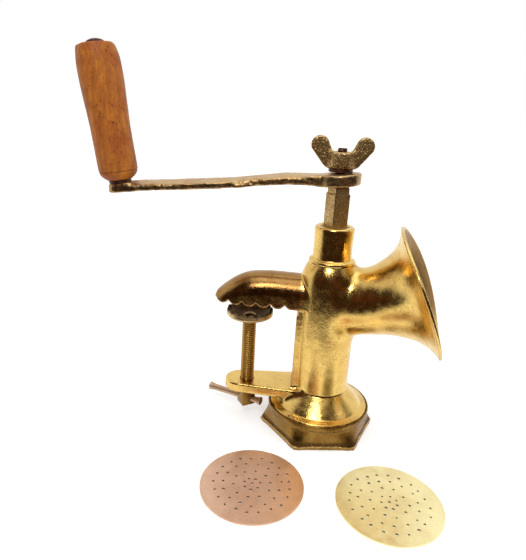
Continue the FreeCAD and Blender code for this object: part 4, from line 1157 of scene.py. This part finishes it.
class ArmField:
    """The crank arm: a bent bar with a thick eye, its edges left rough from the mould."""

    def __init__(self, sizes):
        self.s = s = sizes
        slope_up = math.tan(s.eye_tilt)
        fall = math.tan(LEAN)
        end = PIVOT.x - 9.0

        def top(x):
            """Height of the tip's flat top, square to the grip."""
            return PIVOT.z + (x - PIVOT.x) * fall

        upper = [(end, top(end) - 0.4), (PIVOT.x, top(PIVOT.x)), (-148.5, top(-148.5)),
                 (-128, EYE_TOP - 12.6), (-80, EYE_TOP - 8.3), (-42, EYE_TOP - 2.9),
                 (-17, EYE_TOP - 17 * slope_up)]
        upper = flowing(upper) + [(s.eye_radius + 1, EYE_TOP + (s.eye_radius + 1) * slope_up)]
        depth = [(end, 6.3), (PIVOT.x, 7.0), (-148.5, 7.0), (-128, 6.6), (-80, 6.5), (-42, 6.9), (-19, 7.2)]
        reaches, heights = zip(*upper)
        below = [(x, np.interp(x, reaches, heights) - drop) for x, drop in depth]
        eye_foot = EYE_TOP - 8.4
        below = flowing(below) + [(-s.eye_radius + 1, eye_foot - (s.eye_radius - 1) * slope_up)]
        below += [(s.eye_radius + 1, eye_foot + (s.eye_radius + 1) * slope_up)]
        self.side = upper + below[::-1]
        self.top = np.array(upper)
        half = s.arm_width / 2
        tip = s.tip_width / 2
        plan = [(-10, half), (-42, half - 0.2), (-90, half - 0.6), (-140, half - 0.9), (PIVOT.x, tip)]
        for step in range(1, 12):
            turn = math.pi * step / 12
            plan.append((PIVOT.x - 8.9 * math.sin(turn), tip * math.cos(turn)))
        self.plan = plan + [(x, -y) for x, y in plan[:5][::-1]]

    def __call__(self, points):
        """Signed distance to the piece."""
        s = self.s
        x, y, z = points.T
        side = outline_distance(x, z, self.side)
        bar = outline_distance(x, y, self.plan)
        eye = np.hypot(x, y) - s.eye_radius
        plan = soft_union(bar, eye, 3.0)
        # The front edge is bitten between the arm's bend and its eye
        bitten = smooth_step(-92.0, -76.0, x) * smooth_step(-22.0, -34.0, x) * smooth_step(2.0, -3.0, y)
        plan = plan + bitten * (0.9 + 1.5 * lattice_noise(points * (0.7, 0.2, 0.6), 3.6, 14))
        side = side + 0.8 * bitten * np.maximum(lattice_noise(points * (0.5, 0.3, 0.3), 5.0, 15), -0.3)
        wander = lattice_noise(points * (0.45, 1.0, 1.0), 4.5, 11)
        chips = np.maximum(lattice_noise(points, 3.2, 12) - 0.15, 0.0)
        away = smooth_step(-160.0, -140.0, x) * smooth_step(-4.0, -18.0, x)
        edge = 3.0 + away * (1.6 * wander + 3.6 * chips)
        # The top falls towards the front edge, but not at the eye and the tip
        fall = s.top_fall
        ground = (z - np.interp(x, self.top[:, 0], self.top[:, 1])) * math.cos(fall)
        ground = ground + (1.5 - y) * math.sin(fall)
        ground = ground - 3.0 * smooth_step(-32.0, -12.0, x) - 3.0 * smooth_step(-146.0, -153.0, x)
        side = soft_common(side, ground, 0.8)
        body = soft_common(side, plan, np.clip(edge, 1.0, 3.4))
        turn = s.square_turn
        across = np.abs(x * math.cos(turn) + y * math.sin(turn))
        along = np.abs(-x * math.sin(turn) + y * math.cos(turn))
        socket = np.maximum(across, along) - (s.spigot_side / 2 + 0.06)
        body = soft_cut(body, socket, 0.4)
        rough = s.roughness * away * (0.5 * wander + 0.35 * lattice_noise(points, 1.7, 13))
        return body + np.clip(rough, -0.25, 0.5) * 0.6


class WingField:
    """The wing nut: a coned hub with two thick round ears, rough from the sand."""

    facet = 9.35  # reach of the hub's six ground faces
    ear_foot = 4.8  # half the width of an ear where it leaves the hub
    ear_spread = 1.5  # how much wider an ear's half is at its end

    def __init__(self, sizes):
        self.s = sizes
        foot = WING_LOW.z
        self.foot = foot
        self.hub = [(-FAR, foot)] + [(9.6, foot), (10.5, foot + 1.2), (10.2, foot + 4), (9.3, foot + 9.8)]
        self.hub += [(8.4, foot + 10.8), (-FAR, foot + 10.8)]

    def __call__(self, points):
        """Signed distance to the piece."""
        x, y, z = points.T
        hub = outline_distance(np.hypot(x, y), z, self.hub)
        facets = np.full(len(points), -FAR)
        for step in range(6):
            turn = math.radians(24 + 60 * step)
            facets = np.maximum(facets, x * math.cos(turn) + y * math.sin(turn) - self.facet)
        hub = soft_common(hub, facets, 1.4)
        start = np.array([9.2, self.foot + 5.0])
        end = np.array([15.4, self.foot + 14.9])
        run = end - start
        across = np.abs(x)
        share = np.clip(((across - start[0]) * run[0] + (z - start[1]) * run[1]) / (run @ run), 0.0, 1.0)
        ear = np.hypot(across - start[0] - share * run[0], z - start[1] - share * run[1])
        ear = ear - (self.ear_foot + self.ear_spread * share)
        ear = soft_common(ear, np.abs(y) - self.s.ear_thickness / 2, 2.6)
        body = soft_union(hub, ear, 3.0)
        body = soft_cut(body, np.hypot(x, y) - (self.s.stud_radius + 0.1), 0.6)
        grain = 0.6 * lattice_noise(points, 1.0, 21) + 0.4 * lattice_noise(points, 0.55, 22)
        return body + self.s.grain * np.maximum(grain, -0.15)


class WormField:
    """The feed worm and its squared shaft, in one piece."""

    head = 17.6  # radius of the head
    tail = 12.0  # height of the pointed tail
    flight = 17.8  # radius of the flight
    pitch = 24.0  # rise of the flight in one turn

    def __init__(self, sizes):
        self.s = sizes
        self.head_foot = THRUST_LOW.z - 4.2
        head_top = self.head_foot + 4.0
        journal = self.s.journal_radius - 0.02
        self.core = [
            (-FAR, WORM_LOW.z), (3.4, WORM_LOW.z), (11.6, WORM_LOW.z + self.tail), (8.5, self.head_foot),
            (self.head, self.head_foot), (self.head, head_top), (journal, head_top),
            (journal, NECK_TOP - 1.0), (-FAR, NECK_TOP - 1.0),
        ]

    def bar(self, points, side, low, high, rounding):
        """Distance to an upright square bar with rounded corners."""
        turn = self.s.square_turn
        across = np.abs(points[:, 0] * math.cos(turn) + points[:, 1] * math.sin(turn)) - side / 2
        along = np.abs(-points[:, 0] * math.sin(turn) + points[:, 1] * math.cos(turn)) - side / 2
        flank = soft_common(across, along, rounding)
        ends = np.abs(points[:, 2] - (low + high) / 2) - (high - low) / 2
        return soft_common(flank, ends, 0.5)

    def __call__(self, points):
        """Signed distance to the piece."""
        s = self.s
        radius = np.hypot(points[:, 0], points[:, 1])
        height = points[:, 2]
        body = outline_distance(radius, height, self.core)
        foot = WORM_LOW.z + self.tail + 8.5
        turn = np.arctan2(points[:, 1], points[:, 0]) / (2 * math.pi)
        climb = (height - foot - 2.0) / self.pitch - turn
        gap = np.abs(climb - np.round(climb)) * self.pitch
        thick = 2.0 - 0.9 * smooth_step(8.0, 18.0, radius)
        flight = np.maximum((gap - thick) * 0.9, radius - self.flight)
        flight = np.maximum(flight, np.maximum(foot - height, height - self.head_foot + 2.0))
        body = soft_union(body, flight, 2.5)
        neck = NECK_TOP - 1.5
        step = ARM_LOW.z + 10.2
        body = np.minimum(body, self.bar(points, s.square_side, neck, step, 1.1))
        body = soft_union(body, self.bar(points, s.collar_side, neck, EYE_TOP - 9.6, 0.9), 0.5)
        body = np.minimum(body, self.bar(points, s.spigot_side, neck, WORM_HIGH.z, 0.5))
        rough = smooth_step(NECK_TOP + 0.5, NECK_TOP + 3.0, height)
        rough = rough * smooth_step(EYE_TOP - 8.5, EYE_TOP - 10.5, height)
        grain = 0.6 * lattice_noise(points, 1.3, 31) + 0.5 * lattice_noise(points * (1, 1, 0.4), 3.6, 32)
        return body + 0.16 * rough * np.maximum(grain, -0.3)


# Operators, one for each piece or group of like pieces


class PRESS_OT_finishes(bpy.types.Operator):
    """Make the press's finishes."""

    bl_idname = "press.finishes"
    bl_label = "Finishes"

    def execute(self, context):
        make_finishes()
        return {"FINISHED"}


class PRESS_OT_casting(bpy.types.Operator):
    """Carve the casting: barrel, horn, hood and lug in one smooth piece."""

    bl_idname = "press.casting"
    bl_label = "Casting"

    def execute(self, context):
        field = CastingField(in_millimetres(context.scene.press_casting))
        nodes = ("barrel_casting", "horn_hopper", "clamp_jaw", "clamp_lug")
        spans = [span(node) for node in nodes]
        low = [min(lower[axis] for lower, _ in spans) - 2.5 for axis in range(3)]
        high = [max(upper[axis] for _, upper in spans) + 2.5 for axis in range(3)]
        step = 1.05
        casting = carved("press_casting", field, low, high, step, marks=field.marks)
        finished(casting, "casting", "polished_brass", "polished brass", *nodes)
        return {"FINISHED"}


class PRESS_OT_ring_nut(bpy.types.Operator):
    """Carve the hexagonal ring nut."""

    bl_idname = "press.ring_nut"
    bl_label = "Ring nut"

    def execute(self, context):
        sizes = in_millimetres(context.scene.press_outlet)
        reach = sizes.nut_radius + 1
        step = 0.85
        field = NutField(sizes)
        low = (-reach, -reach, -0.5)
        high = (reach, reach, NUT_HEIGHT + 0.5)
        nut = carved("hexagonal_ring_nut", field, low, high, step, marks=field.marks)
        finished(nut, "ring", "aged_brass", "aged brass", "ring_nut")
        return {"FINISHED"}


class PRESS_OT_worm(bpy.types.Operator):
    """Carve the feed worm with its squared shaft, and turn its thrust washer."""

    bl_idname = "press.worm"
    bl_label = "Feed worm"

    def execute(self, context):
        sizes = in_millimetres(context.scene.press_crank)
        reach = 18.5
        low = (-reach, -reach, WORM_LOW.z - 0.5)
        high = (reach, reach, WORM_HIGH.z + 0.5)
        worm = carved("feed_worm_and_shaft", WormField(sizes), low, high, 0.8)
        finished(worm, "crank", "sand_cast_brass", "shaft brass", "feed_worm")
        ring = washer("thrust_ring", sizes.journal_radius + 0.06, THRUST_HIGH.x,
                      THRUST_LOW.z, THRUST_HIGH.z, 72, 0.25)
        finished(ring, "crank", "polished_brass", "threaded brass", "thrust_washer")
        return {"FINISHED"}


class PRESS_OT_crank(bpy.types.Operator):
    """Carve the crank arm."""

    bl_idname = "press.crank"
    bl_label = "Crank arm"

    def execute(self, context):
        sizes = in_millimetres(context.scene.press_crank)
        low = (ARM_LOW.x - 1, -16.5, ARM_LOW.z - 1)
        high = (16.5, 16.5, ARM_HIGH.z + 1)
        arm = carved("cast_crank_arm", ArmField(sizes), low, high, 0.62, crease=0.2)
        finished(arm, "crank", "cast_bronze", "cast bronze", "crank_arm")
        return {"FINISHED"}


class PRESS_OT_head(bpy.types.Operator):
    """Make the stud, its spacer and the wing nut."""

    bl_idname = "press.head"
    bl_label = "Stud, spacer and wing nut"

    def execute(self, context):
        sizes = in_millimetres(context.scene.press_crank)
        low = (WING_LOW.x - 0.5, -11.5, WING_LOW.z - 0.5)
        high = (WING_HIGH.x + 0.5, 11.5, WING_HIGH.z + 0.5)
        wing = carved("cast_wing_nut", WingField(sizes), low, high, 0.42, crease=0.15)
        finished(wing, "wing", "sand_cast_brass", "sand-cast brass", "wing_nut")
        spacer = washer("stud_spacer", sizes.stud_radius + 0.1, SPACER_HIGH.x,
                        SPACER_LOW.z, SPACER_HIGH.z, 72, 0.4)
        finished(spacer, "stud_washer", "dark_steel", "dark steel", "crank_washer")
        foot = EYE_TOP - 15.8
        run = STUD_HIGH.z - foot
        values = {"Radius": sizes.stud_radius * MM, "Pitch": sizes.stud_pitch * MM, "Length": run * MM,
                  "Material": FINISHES["dark steel"]}
        stud = grown("threaded_stud", thread_growth(), values, at(0, 0, foot))
        darkened(stud, groove_depth(sizes.stud_radius, sizes.stud_pitch))
        finished(stud, "crank", "dark_steel", "dark steel", "crank_stud")
        return {"FINISHED"}


class PRESS_OT_grip(bpy.types.Operator):
    """Turn the wooden grip, its spindle and its two washers."""

    bl_idname = "press.grip"
    bl_label = "Grip"

    def execute(self, context):
        s = in_millimetres(context.scene.press_grip)
        lean = at(*PIVOT, Matrix.Rotation(-LEAN, 4, "Y"))
        bore = s.spindle_radius + 0.1
        side = [(8.8, 0.0), (11.4, 2.0), (13.1, 4.2), (13.8, 6.6), (13.95, 10), (13.85, 24), (13.9, 36),
                (14.25, 48), (14.75, 60), (15.0, 70), (14.75, 79), (14.0, 84.6), (13.3, 87.9), (12.5, 89.5),
                (11.0, 90.0)]
        grooves = ((5.9, 1.0), (8.9, 0.35), (11.2, 0.3))  # height over the foot, and strength
        profile = [(bore, 0.0)] + flowing(side, 10) + [(bore, 90.0)]
        dense = []
        for (r0, z0), (r1, z1) in zip(profile, profile[1:]):
            parts = max(1, int(abs(z1 - z0) / 0.45))
            dense += [(r0 + (r1 - r0) * i / parts, z0 + (z1 - z0) * i / parts) for i in range(parts)]
        dense.append(profile[-1])
        profile = [(radius, min(height, s.height) + s.foot) for radius, height in dense]

        def uneven(points):
            """Hand-turned wood: wobbles, tool marks, grooves and a whittled top."""
            radius = np.hypot(points[:, 0], points[:, 1])
            height = points[:, 2] - s.foot
            outer = smooth_step(8.0, 11.0, radius)
            push = s.wobble * (0.5 * lattice_noise(points * (1, 1, 0.35), 9.0, 41) - 0.35)
            push += 0.08 * lattice_noise(points * (1, 1, 0.2), 1.6, 42)
            for level, depth in grooves:
                push -= 0.22 * depth * np.exp(-((height - level) / 0.35) ** 2)
            turn = np.arctan2(points[:, 1], points[:, 0])
            push -= smooth_step(82.0, 89.0, height) * 0.55 * np.maximum(np.sin(5 * turn + 0.6), -0.2)
            scale = 1 + outer * push / np.maximum(radius, 1.0)
            return points * np.stack([scale, scale, np.ones_like(scale)], -1)

        around = 128
        grip = turned("turned_wooden_grip", profile, around, closed=True, shape=uneven)
        height = np.repeat([level for _, level in profile], around) - s.foot
        marks = sum(depth * np.exp(-((height - level) / 0.3) ** 2) for level, depth in grooves)
        layer = grip.data.attributes.new("groove", "FLOAT", "POINT")
        layer.data.foreach_set("value", np.clip(marks, 0, 1).astype(np.float32))
        grip.data.transform(lean)
        finished(grip, "grip", "turned_wood", "turned wood", "wooden_grip")
        head_seat = s.foot + s.height + 1.15
        foot = -6.9
        rivet = [(0.0, foot), (s.spindle_radius, foot), (s.spindle_radius, head_seat)]
        rivet += [(s.rivet_radius - 0.1, head_seat), (s.rivet_radius, head_seat + 0.4)]
        rivet += bowed(rivet[-1], (0.0, head_seat + 2.2), 0.55, 10)
        spindle = turned("riveted_spindle", rivet, 64, place=lean)
        finished(spindle, "crank", "dark_steel", "dark steel", "handle_spindle")
        for name, node, outer, low, high in (
            ("grip_foot_washer", "grip_washer_lower", s.washer_radius, 0.0, 2.0),
            ("grip_top_washer", "grip_washer_upper", 6.6, s.foot + s.height + 0.15, head_seat),
        ):
            ring = washer(name, s.spindle_radius, outer, low, high, 64, 0.25, lean)
            finished(ring, "crank", "dark_steel", "dark steel", node)
        return {"FINISHED"}


class PRESS_OT_clamp(bpy.types.Operator):
    """Make the clamp's screw, pad and bar."""

    bl_idname = "press.clamp"
    bl_label = "Clamp"

    def execute(self, context):
        s = in_millimetres(context.scene.press_clamp)
        foot = LUG_FOOT - 0.3
        values = {"Radius": (s.screw_radius - 0.02) * MM, "Pitch": s.screw_pitch * MM,
                  "Length": (PAD_LOW.z + 1.4 - foot) * MM, "Material": FINISHES["threaded brass"]}
        thread = grown("clamp_screw_thread", thread_growth(), values, at(SCREW_X, 0, foot))
        darkened(thread, groove_depth(s.screw_radius, s.screw_pitch, SCREW_X))
        finished(thread, "screw", "threaded_brass", "threaded brass", "clamp_screw")
        dish = PAD_LOW.z + 3.4
        rivet = [(0.0, PAD_LOW.z + 0.4), (3.6, PAD_LOW.z + 0.4), (3.6, dish + 0.15), (5.4, dish + 0.15),
                 (5.6, dish + 0.4)]
        rivet += bowed(rivet[-1], (0.0, dish + 2.15), 0.45, 8)
        rivet_head = turned("clamp_screw_rivet", rivet, 48, place=at(SCREW_X, 0, 0))
        finished(rivet_head, "screw", "threaded_brass", "aged brass")
        self.block(s, foot)
        self.bar(s)
        self.pad(s)
        return {"FINISHED"}

    def block(self, s, top):
        """The screw's square head block with its cross hole."""
        shell = bmesh.new()
        bmesh.ops.create_cube(shell, size=1.0)
        block = bpy.data.meshes.new("clamp_screw_block")
        shell.to_mesh(block)
        shell.free()
        size = Matrix.Diagonal((s.block_side * MM, s.block_side * MM, (top - SCREW_FOOT) * MM, 1.0))
        turn = Matrix.Rotation(BAR_TURN + s.block_turn, 4, "Z")
        block.transform(at(SCREW_X, 0, (top + SCREW_FOOT) / 2, turn) @ size)
        piece = round_edges(new_object("clamp_screw_block", block), 0.7)
        bore = s.bar_radius + 0.08
        drill = turned("bar_drill", [(0.0, -20.0), (bore, -20.0), (bore, 20.0), (0.0, 20.0)], 40)
        drill.data.transform(at(SCREW_X, 0, BAR_HEIGHT, BAR_AIM))
        cutter = piece.modifiers.new("Cross hole", "BOOLEAN")
        cutter.operation = "DIFFERENCE"
        cutter.object = drill
        mesh = plain_mesh(piece)
        piece.modifiers.clear()
        piece.data = mesh
        bpy.data.objects.remove(drill)
        mesh.shade_smooth()
        mesh.set_sharp_from_angle(angle=math.radians(35))
        finished(piece, "screw", "threaded_brass", "aged brass")

    def bar(self, s):
        """The tommy bar with its hammered, spread ends."""
        short = -s.bar_short
        long = s.bar_long
        spread = 3.4
        radius = s.bar_radius
        profile = [(0.0, short + 0.3), (2.2, short), (spread, short + 0.5), (spread - 0.1, short + 1.2),
                   (radius + 0.25, short + 3.2), (radius, short + 5.0), (radius, long - 6.5),
                   (radius + 0.2, long - 4.0), (spread - 0.15, long - 1.4), (spread, long - 0.6),
                   (2.4, long), (0.0, long - 0.4)]

        def hammered(points):
            """A rod that isn't quite round."""
            radius = np.hypot(points[:, 0], points[:, 1])
            push = 0.12 * lattice_noise(points, 3.0, 51) - 0.06
            scale = 1 + np.where(radius > 1.0, push / np.maximum(radius, 1.0), 0.0)
            return points * np.stack([scale, scale, np.ones_like(scale)], -1)

        line = [profile[0]] + flowing(profile[1:-1], 5) + [profile[-1]]
        bar = turned("spread_tommy_bar", line, 40, shape=hammered, place=at(SCREW_X, 0, BAR_HEIGHT, BAR_AIM))
        finished(bar, "bar", "copper_bar", "copper rod", "tommy_bar")

    def pad(self, s):
        """The clamp pad: a dished cap with a toothed rim."""
        low = PAD_LOW.z
        top = PAD_HIGH.z
        rim = s.pad_radius - 0.15
        hole = 3.7
        outer = flowing([(6.6, low + 1.6), (9.0, low + 1.9), (13.5, low + 2.8), (16.6, low + 3.7),
                         (rim, low + 4.9), (rim, low + 7.0), (rim - 0.2, top - 0.6), (rim - 1.0, top)])
        inner = flowing([(rim - 2.6, top - 0.5), (rim - 4.4, top - 2.6), (9.0, low + 3.5), (hole, low + 3.4)])
        profile = [(hole, low + 1.6)] + outer + inner

        def toothed(points):
            """A rim that is lowered between its teeth."""
            turn = np.arctan2(points[:, 1], points[:, 0])
            wave = np.abs(np.sin(turn * s.teeth / 2)) ** 0.7
            share = smooth_step(low + 5.5, top, points[:, 2])
            share = share * smooth_step(12.5, 16.0, np.hypot(points[:, 0], points[:, 1]))
            moved = points.copy()
            moved[:, 2] -= share * s.tooth_depth * (1 - wave)
            return moved

        pad = turned("toothed_clamp_pad", profile, 192, closed=True, shape=toothed, place=at(SCREW_X, 0, 0))

        def bowl(centres, normals):
            """The blackened bowl and the darker rim."""
            reach = np.hypot(centres[:, 0] - SCREW_X, centres[:, 1])
            return np.where((reach < rim - 0.3) & (centres[:, 2] > low + 3.2), 1.0,
                            0.8 * smooth_step(low + 6.5, low + 8.5, centres[:, 2]))

        darkened(pad, bowl)
        finished(pad, "pad", "pad_brass", "pad brass", "clamp_pad")


class PRESS_OT_discs(bpy.types.Operator):
    """Punch the fitted disc and the two loose ones."""

    bl_idname = "press.discs"
    bl_label = "Perforated discs"

    def execute(self, context):
        s = in_millimetres(context.scene.press_outlet)
        growth = sheet_growth()
        fine = s.fine_hole
        coarse = s.coarse_hole
        for name, node, body, slot, finish, hole, seed, turn in (
            ("fitted_sheet", "fitted_disc", "outlet_disc", "pale_disc", "pale sheet", fine, 3, 0.0),
            ("copper_sheet", "loose_disc_fine", "fine_disc", "copper_disc", "copper sheet", fine, 5, 12.0),
            ("pale_sheet", "loose_disc_coarse", "coarse_disc", "pale_disc", "pale sheet", coarse, 8, 31.0),
        ):
            low, high = span(node)
            values = {"Radius": s.disc_radius * MM, "Thickness": (high.z - low.z) * MM,
                      "Hole Radius": hole * MM, "Burr": s.burr * MM, "Wander": s.wander * MM,
                      "Seed": seed, "Material": FINISHES[finish]}
            values.update({title: radius * MM for title, (_, radius) in RINGS.items()})
            centre = (low + high) / 2
            disc = grown(name, growth, values, at(*centre, Matrix.Rotation(math.radians(turn), 4, "Z")))
            # Painted shade: the holes' walls are darkened.
            darkened(disc, hole_wall_shade(centre, s.disc_radius - 5))
            finished(disc, body, slot, finish, node)
        return {"FINISHED"}


class PRESS_OT_stage(bpy.types.Operator):
    """Set the floor, the room, the lamps and the camera."""

    bl_idname = "press.stage"
    bl_label = "Stage"

    def execute(self, context):
        s = context.scene.press_stage
        self.camera(context.scene, s)
        self.world(context.scene)
        self.floor(s)
        self.room(s)
        self.lamp("sky_light", (0.25, -0.10, 1.25), 1.1, 3.6)
        self.lamp("window_light", (-0.12, -0.62, 0.72), 0.21, 1.9)
        self.lamp("side_light", (0.95, -0.30, 0.55), 0.6, 1.6)
        context.scene.view_settings.view_transform = "Standard"
        return {"FINISHED"}

    def camera(self, scene, s):
        """The camera at the photograph's viewing angle."""
        forward = Vector((-math.sin(s.camera_turn), math.cos(s.camera_turn), -math.tan(s.camera_pitch)))
        forward.normalize()
        right = Vector((math.cos(s.camera_turn), math.sin(s.camera_turn), 0.0))
        up = right.cross(forward)
        rolled_up = up * math.cos(s.camera_roll) - right * math.sin(s.camera_roll)
        rolled_right = right * math.cos(s.camera_roll) + up * math.sin(s.camera_roll)
        data = bpy.data.cameras.new("press_camera")
        data.lens = s.lens
        data.sensor_width = 36.0
        data.clip_start = 0.01
        camera = bpy.data.objects.new("press_camera", data)
        scene.collection.objects.link(camera)
        turn = Matrix((rolled_right, rolled_up, -forward)).transposed().to_4x4()
        camera.matrix_world = Matrix.Translation((s.camera_x, s.camera_y, s.camera_z)) @ turn
        scene.camera = camera

    def world(self, scene):
        """White where the camera and the metal look, dimmer as light."""
        world = bpy.data.worlds.new("press_world")
        world.use_nodes = True
        scene.world = world
        light = Tree()
        light.tree = world.node_tree
        strength = light.node("ShaderNodeMapRange", Value=light.seen_directly(), To_Min=0.6, To_Max=1.0)
        light.fill(light.tree.nodes["Background"], Color=WHITE, Strength=strength.outputs["Result"])

    def floor(self, s):
        """A pale floor that stays white where the camera and the metal see it unshaded."""
        reach = 40.0
        mesh = bpy.data.meshes.new("press_floor")
        corners = [(-reach, -reach, 0.0), (reach, -reach, 0.0), (reach, reach, 0.0), (-reach, reach, 0.0)]
        mesh.from_pydata(corners, [], [(0, 1, 2, 3)])
        mesh.transform(Matrix.Translation((0.0, 0.0, -0.0002)))
        floor = new_object("press_floor", mesh)
        finish = Finish("pale floor")
        away = finish.node("ShaderNodeVectorMath", {"operation": "LENGTH"})
        finish.feed(away.inputs[0], finish.coordinates)
        lift = finish.between(away.outputs["Value"], 0.25, 1.2, 0.40, 0.60)
        glow = finish.sum("MULTIPLY", finish.seen_directly(), lift)
        finish.fill(finish.shader, Base_Color=solid(s.floor), Roughness=0.9, Specular_IOR_Level=0.0,
                    Emission_Color=WHITE, Emission_Strength=glow)
        mesh.materials.append(finish.material)

    def room(self, s):
        """The dim room in front of the press, which only its metal mirrors."""
        low = 0.0006
        path = [(0.205, low), (0.225, low), (0.25, low), (0.35, low), (0.55, low), (0.80, low),
                (0.92, 0.03), (0.97, 0.15), (0.98, 0.40), (0.97, 0.65), (0.92, 0.90), (0.82, 1.10),
                (0.70, 1.25), (0.56, 1.38)]
        columns = 96
        spread = math.radians(108.0)
        centre = math.radians(-79.0)
        points = []
        shares = []
        for row, (radius, height) in enumerate(path):
            for column in range(columns + 1):
                share = column / columns * 2 - 1
                turn = centre + spread * share
                nearer = 1 - 0.15 * math.exp(-((turn + 1.6) / 0.36) ** 2) * (radius < 0.5)
                points.append((radius * nearer * math.cos(turn), radius * nearer * math.sin(turn), height))
                side = 1 - smooth_step(0.76, 0.83, abs(share))
                start = smooth_step(0.0, 2.0, float(row))
                end = 1 - smooth_step(len(path) - 3.5, len(path) - 1.0, float(row))
                shares.append(side * start * end)
        faces = []
        for row in range(len(path) - 1):
            for column in range(columns):
                first = row * (columns + 1) + column
                faces.append((first, first + 1, first + columns + 2, first + columns + 1))
        mesh = bpy.data.meshes.new("dim_room")
        mesh.from_pydata(points, [], faces)
        mesh.shade_smooth()
        layer = mesh.attributes.new("dimness", "FLOAT", "POINT")
        layer.data.foreach_set("value", np.array(shares, np.float32))
        room = new_object("dim_room", mesh)
        finish = Finish("dim room")
        folds = finish.noise(2.6, 4.0, 0.6, 1.0)
        warm = (s.room[0] * 5.0, s.room[1] * 1.7, s.room[2] * 1.0, 1.0)
        dim = finish.mixed(finish.between(folds, 0.50, 0.64), solid(s.room), warm)
        finish.fill(finish.shader, Base_Color=BLACK, Specular_IOR_Level=0.0, Emission_Strength=1.0,
                    Emission_Color=finish.mixed(finish.share_of("dimness"), WHITE, dim))
        mesh.materials.append(finish.material)
        room.visible_camera = False
        room.visible_diffuse = False
        room.visible_shadow = False
        room.visible_transmission = False

    def lamp(self, name, spot, size, power):
        """A square soft lamp aimed at the press."""
        data = bpy.data.lights.new(name, "AREA")
        data.shape = "SQUARE"
        data.size = size
        data.energy = power
        lamp = bpy.data.objects.new(name, data)
        bpy.context.scene.collection.objects.link(lamp)
        aim = (Vector((0.0, 0.0, 0.10)) - Vector(spot)).to_track_quat("-Z", "Y")
        lamp.matrix_world = Matrix.Translation(spot) @ aim.to_matrix().to_4x4()


OPERATORS = (
    PRESS_OT_finishes,
    PRESS_OT_stage,
    PRESS_OT_casting,
    PRESS_OT_ring_nut,
    PRESS_OT_worm,
    PRESS_OT_crank,
    PRESS_OT_head,
    PRESS_OT_grip,
    PRESS_OT_clamp,
    PRESS_OT_discs,
)
GROUPS = {
    "press_casting": CastingSizes,
    "press_crank": CrankSizes,
    "press_grip": GripSizes,
    "press_clamp": ClampSizes,
    "press_outlet": OutletSizes,
    "press_colours": FinishColours,
    "press_stage": StageSettings,
}


class PRESS_PT_sidebar(bpy.types.Panel):
    """The press's pieces, sizes and colours."""

    bl_label = "String Hopper Press"
    bl_idname = "PRESS_PT_sidebar"
    bl_space_type = "VIEW_3D"
    bl_region_type = "UI"
    bl_category = "Press"

    def draw(self, context):
        """A button for each operator, and each group's sizes or colours."""
        for operator in OPERATORS:
            self.layout.operator(operator.bl_idname)
        for attribute, group in GROUPS.items():
            box = self.layout.box()
            box.label(text=group.__name__)
            for name in group.__annotations__:
                box.prop(getattr(context.scene, attribute), name)


def register():
    """Register the classes and give the scene its settings."""
    for kind in (*GROUPS.values(), *OPERATORS, PRESS_PT_sidebar):
        bpy.utils.register_class(kind)
    for attribute, group in GROUPS.items():
        setattr(bpy.types.Scene, attribute, PointerProperty(type=group))


def unregister():
    """Take the settings and the classes away again."""
    for attribute in GROUPS:
        delattr(bpy.types.Scene, attribute)
    for kind in (PRESS_PT_sidebar, *reversed(OPERATORS), *reversed(tuple(GROUPS.values()))):
        bpy.utils.unregister_class(kind)


def main():
    """Build everything."""
    register()
    for operator in OPERATORS:
        getattr(bpy.ops.press, operator.bl_idname.split(".")[1])()


if __name__ == "__main__":
    main()
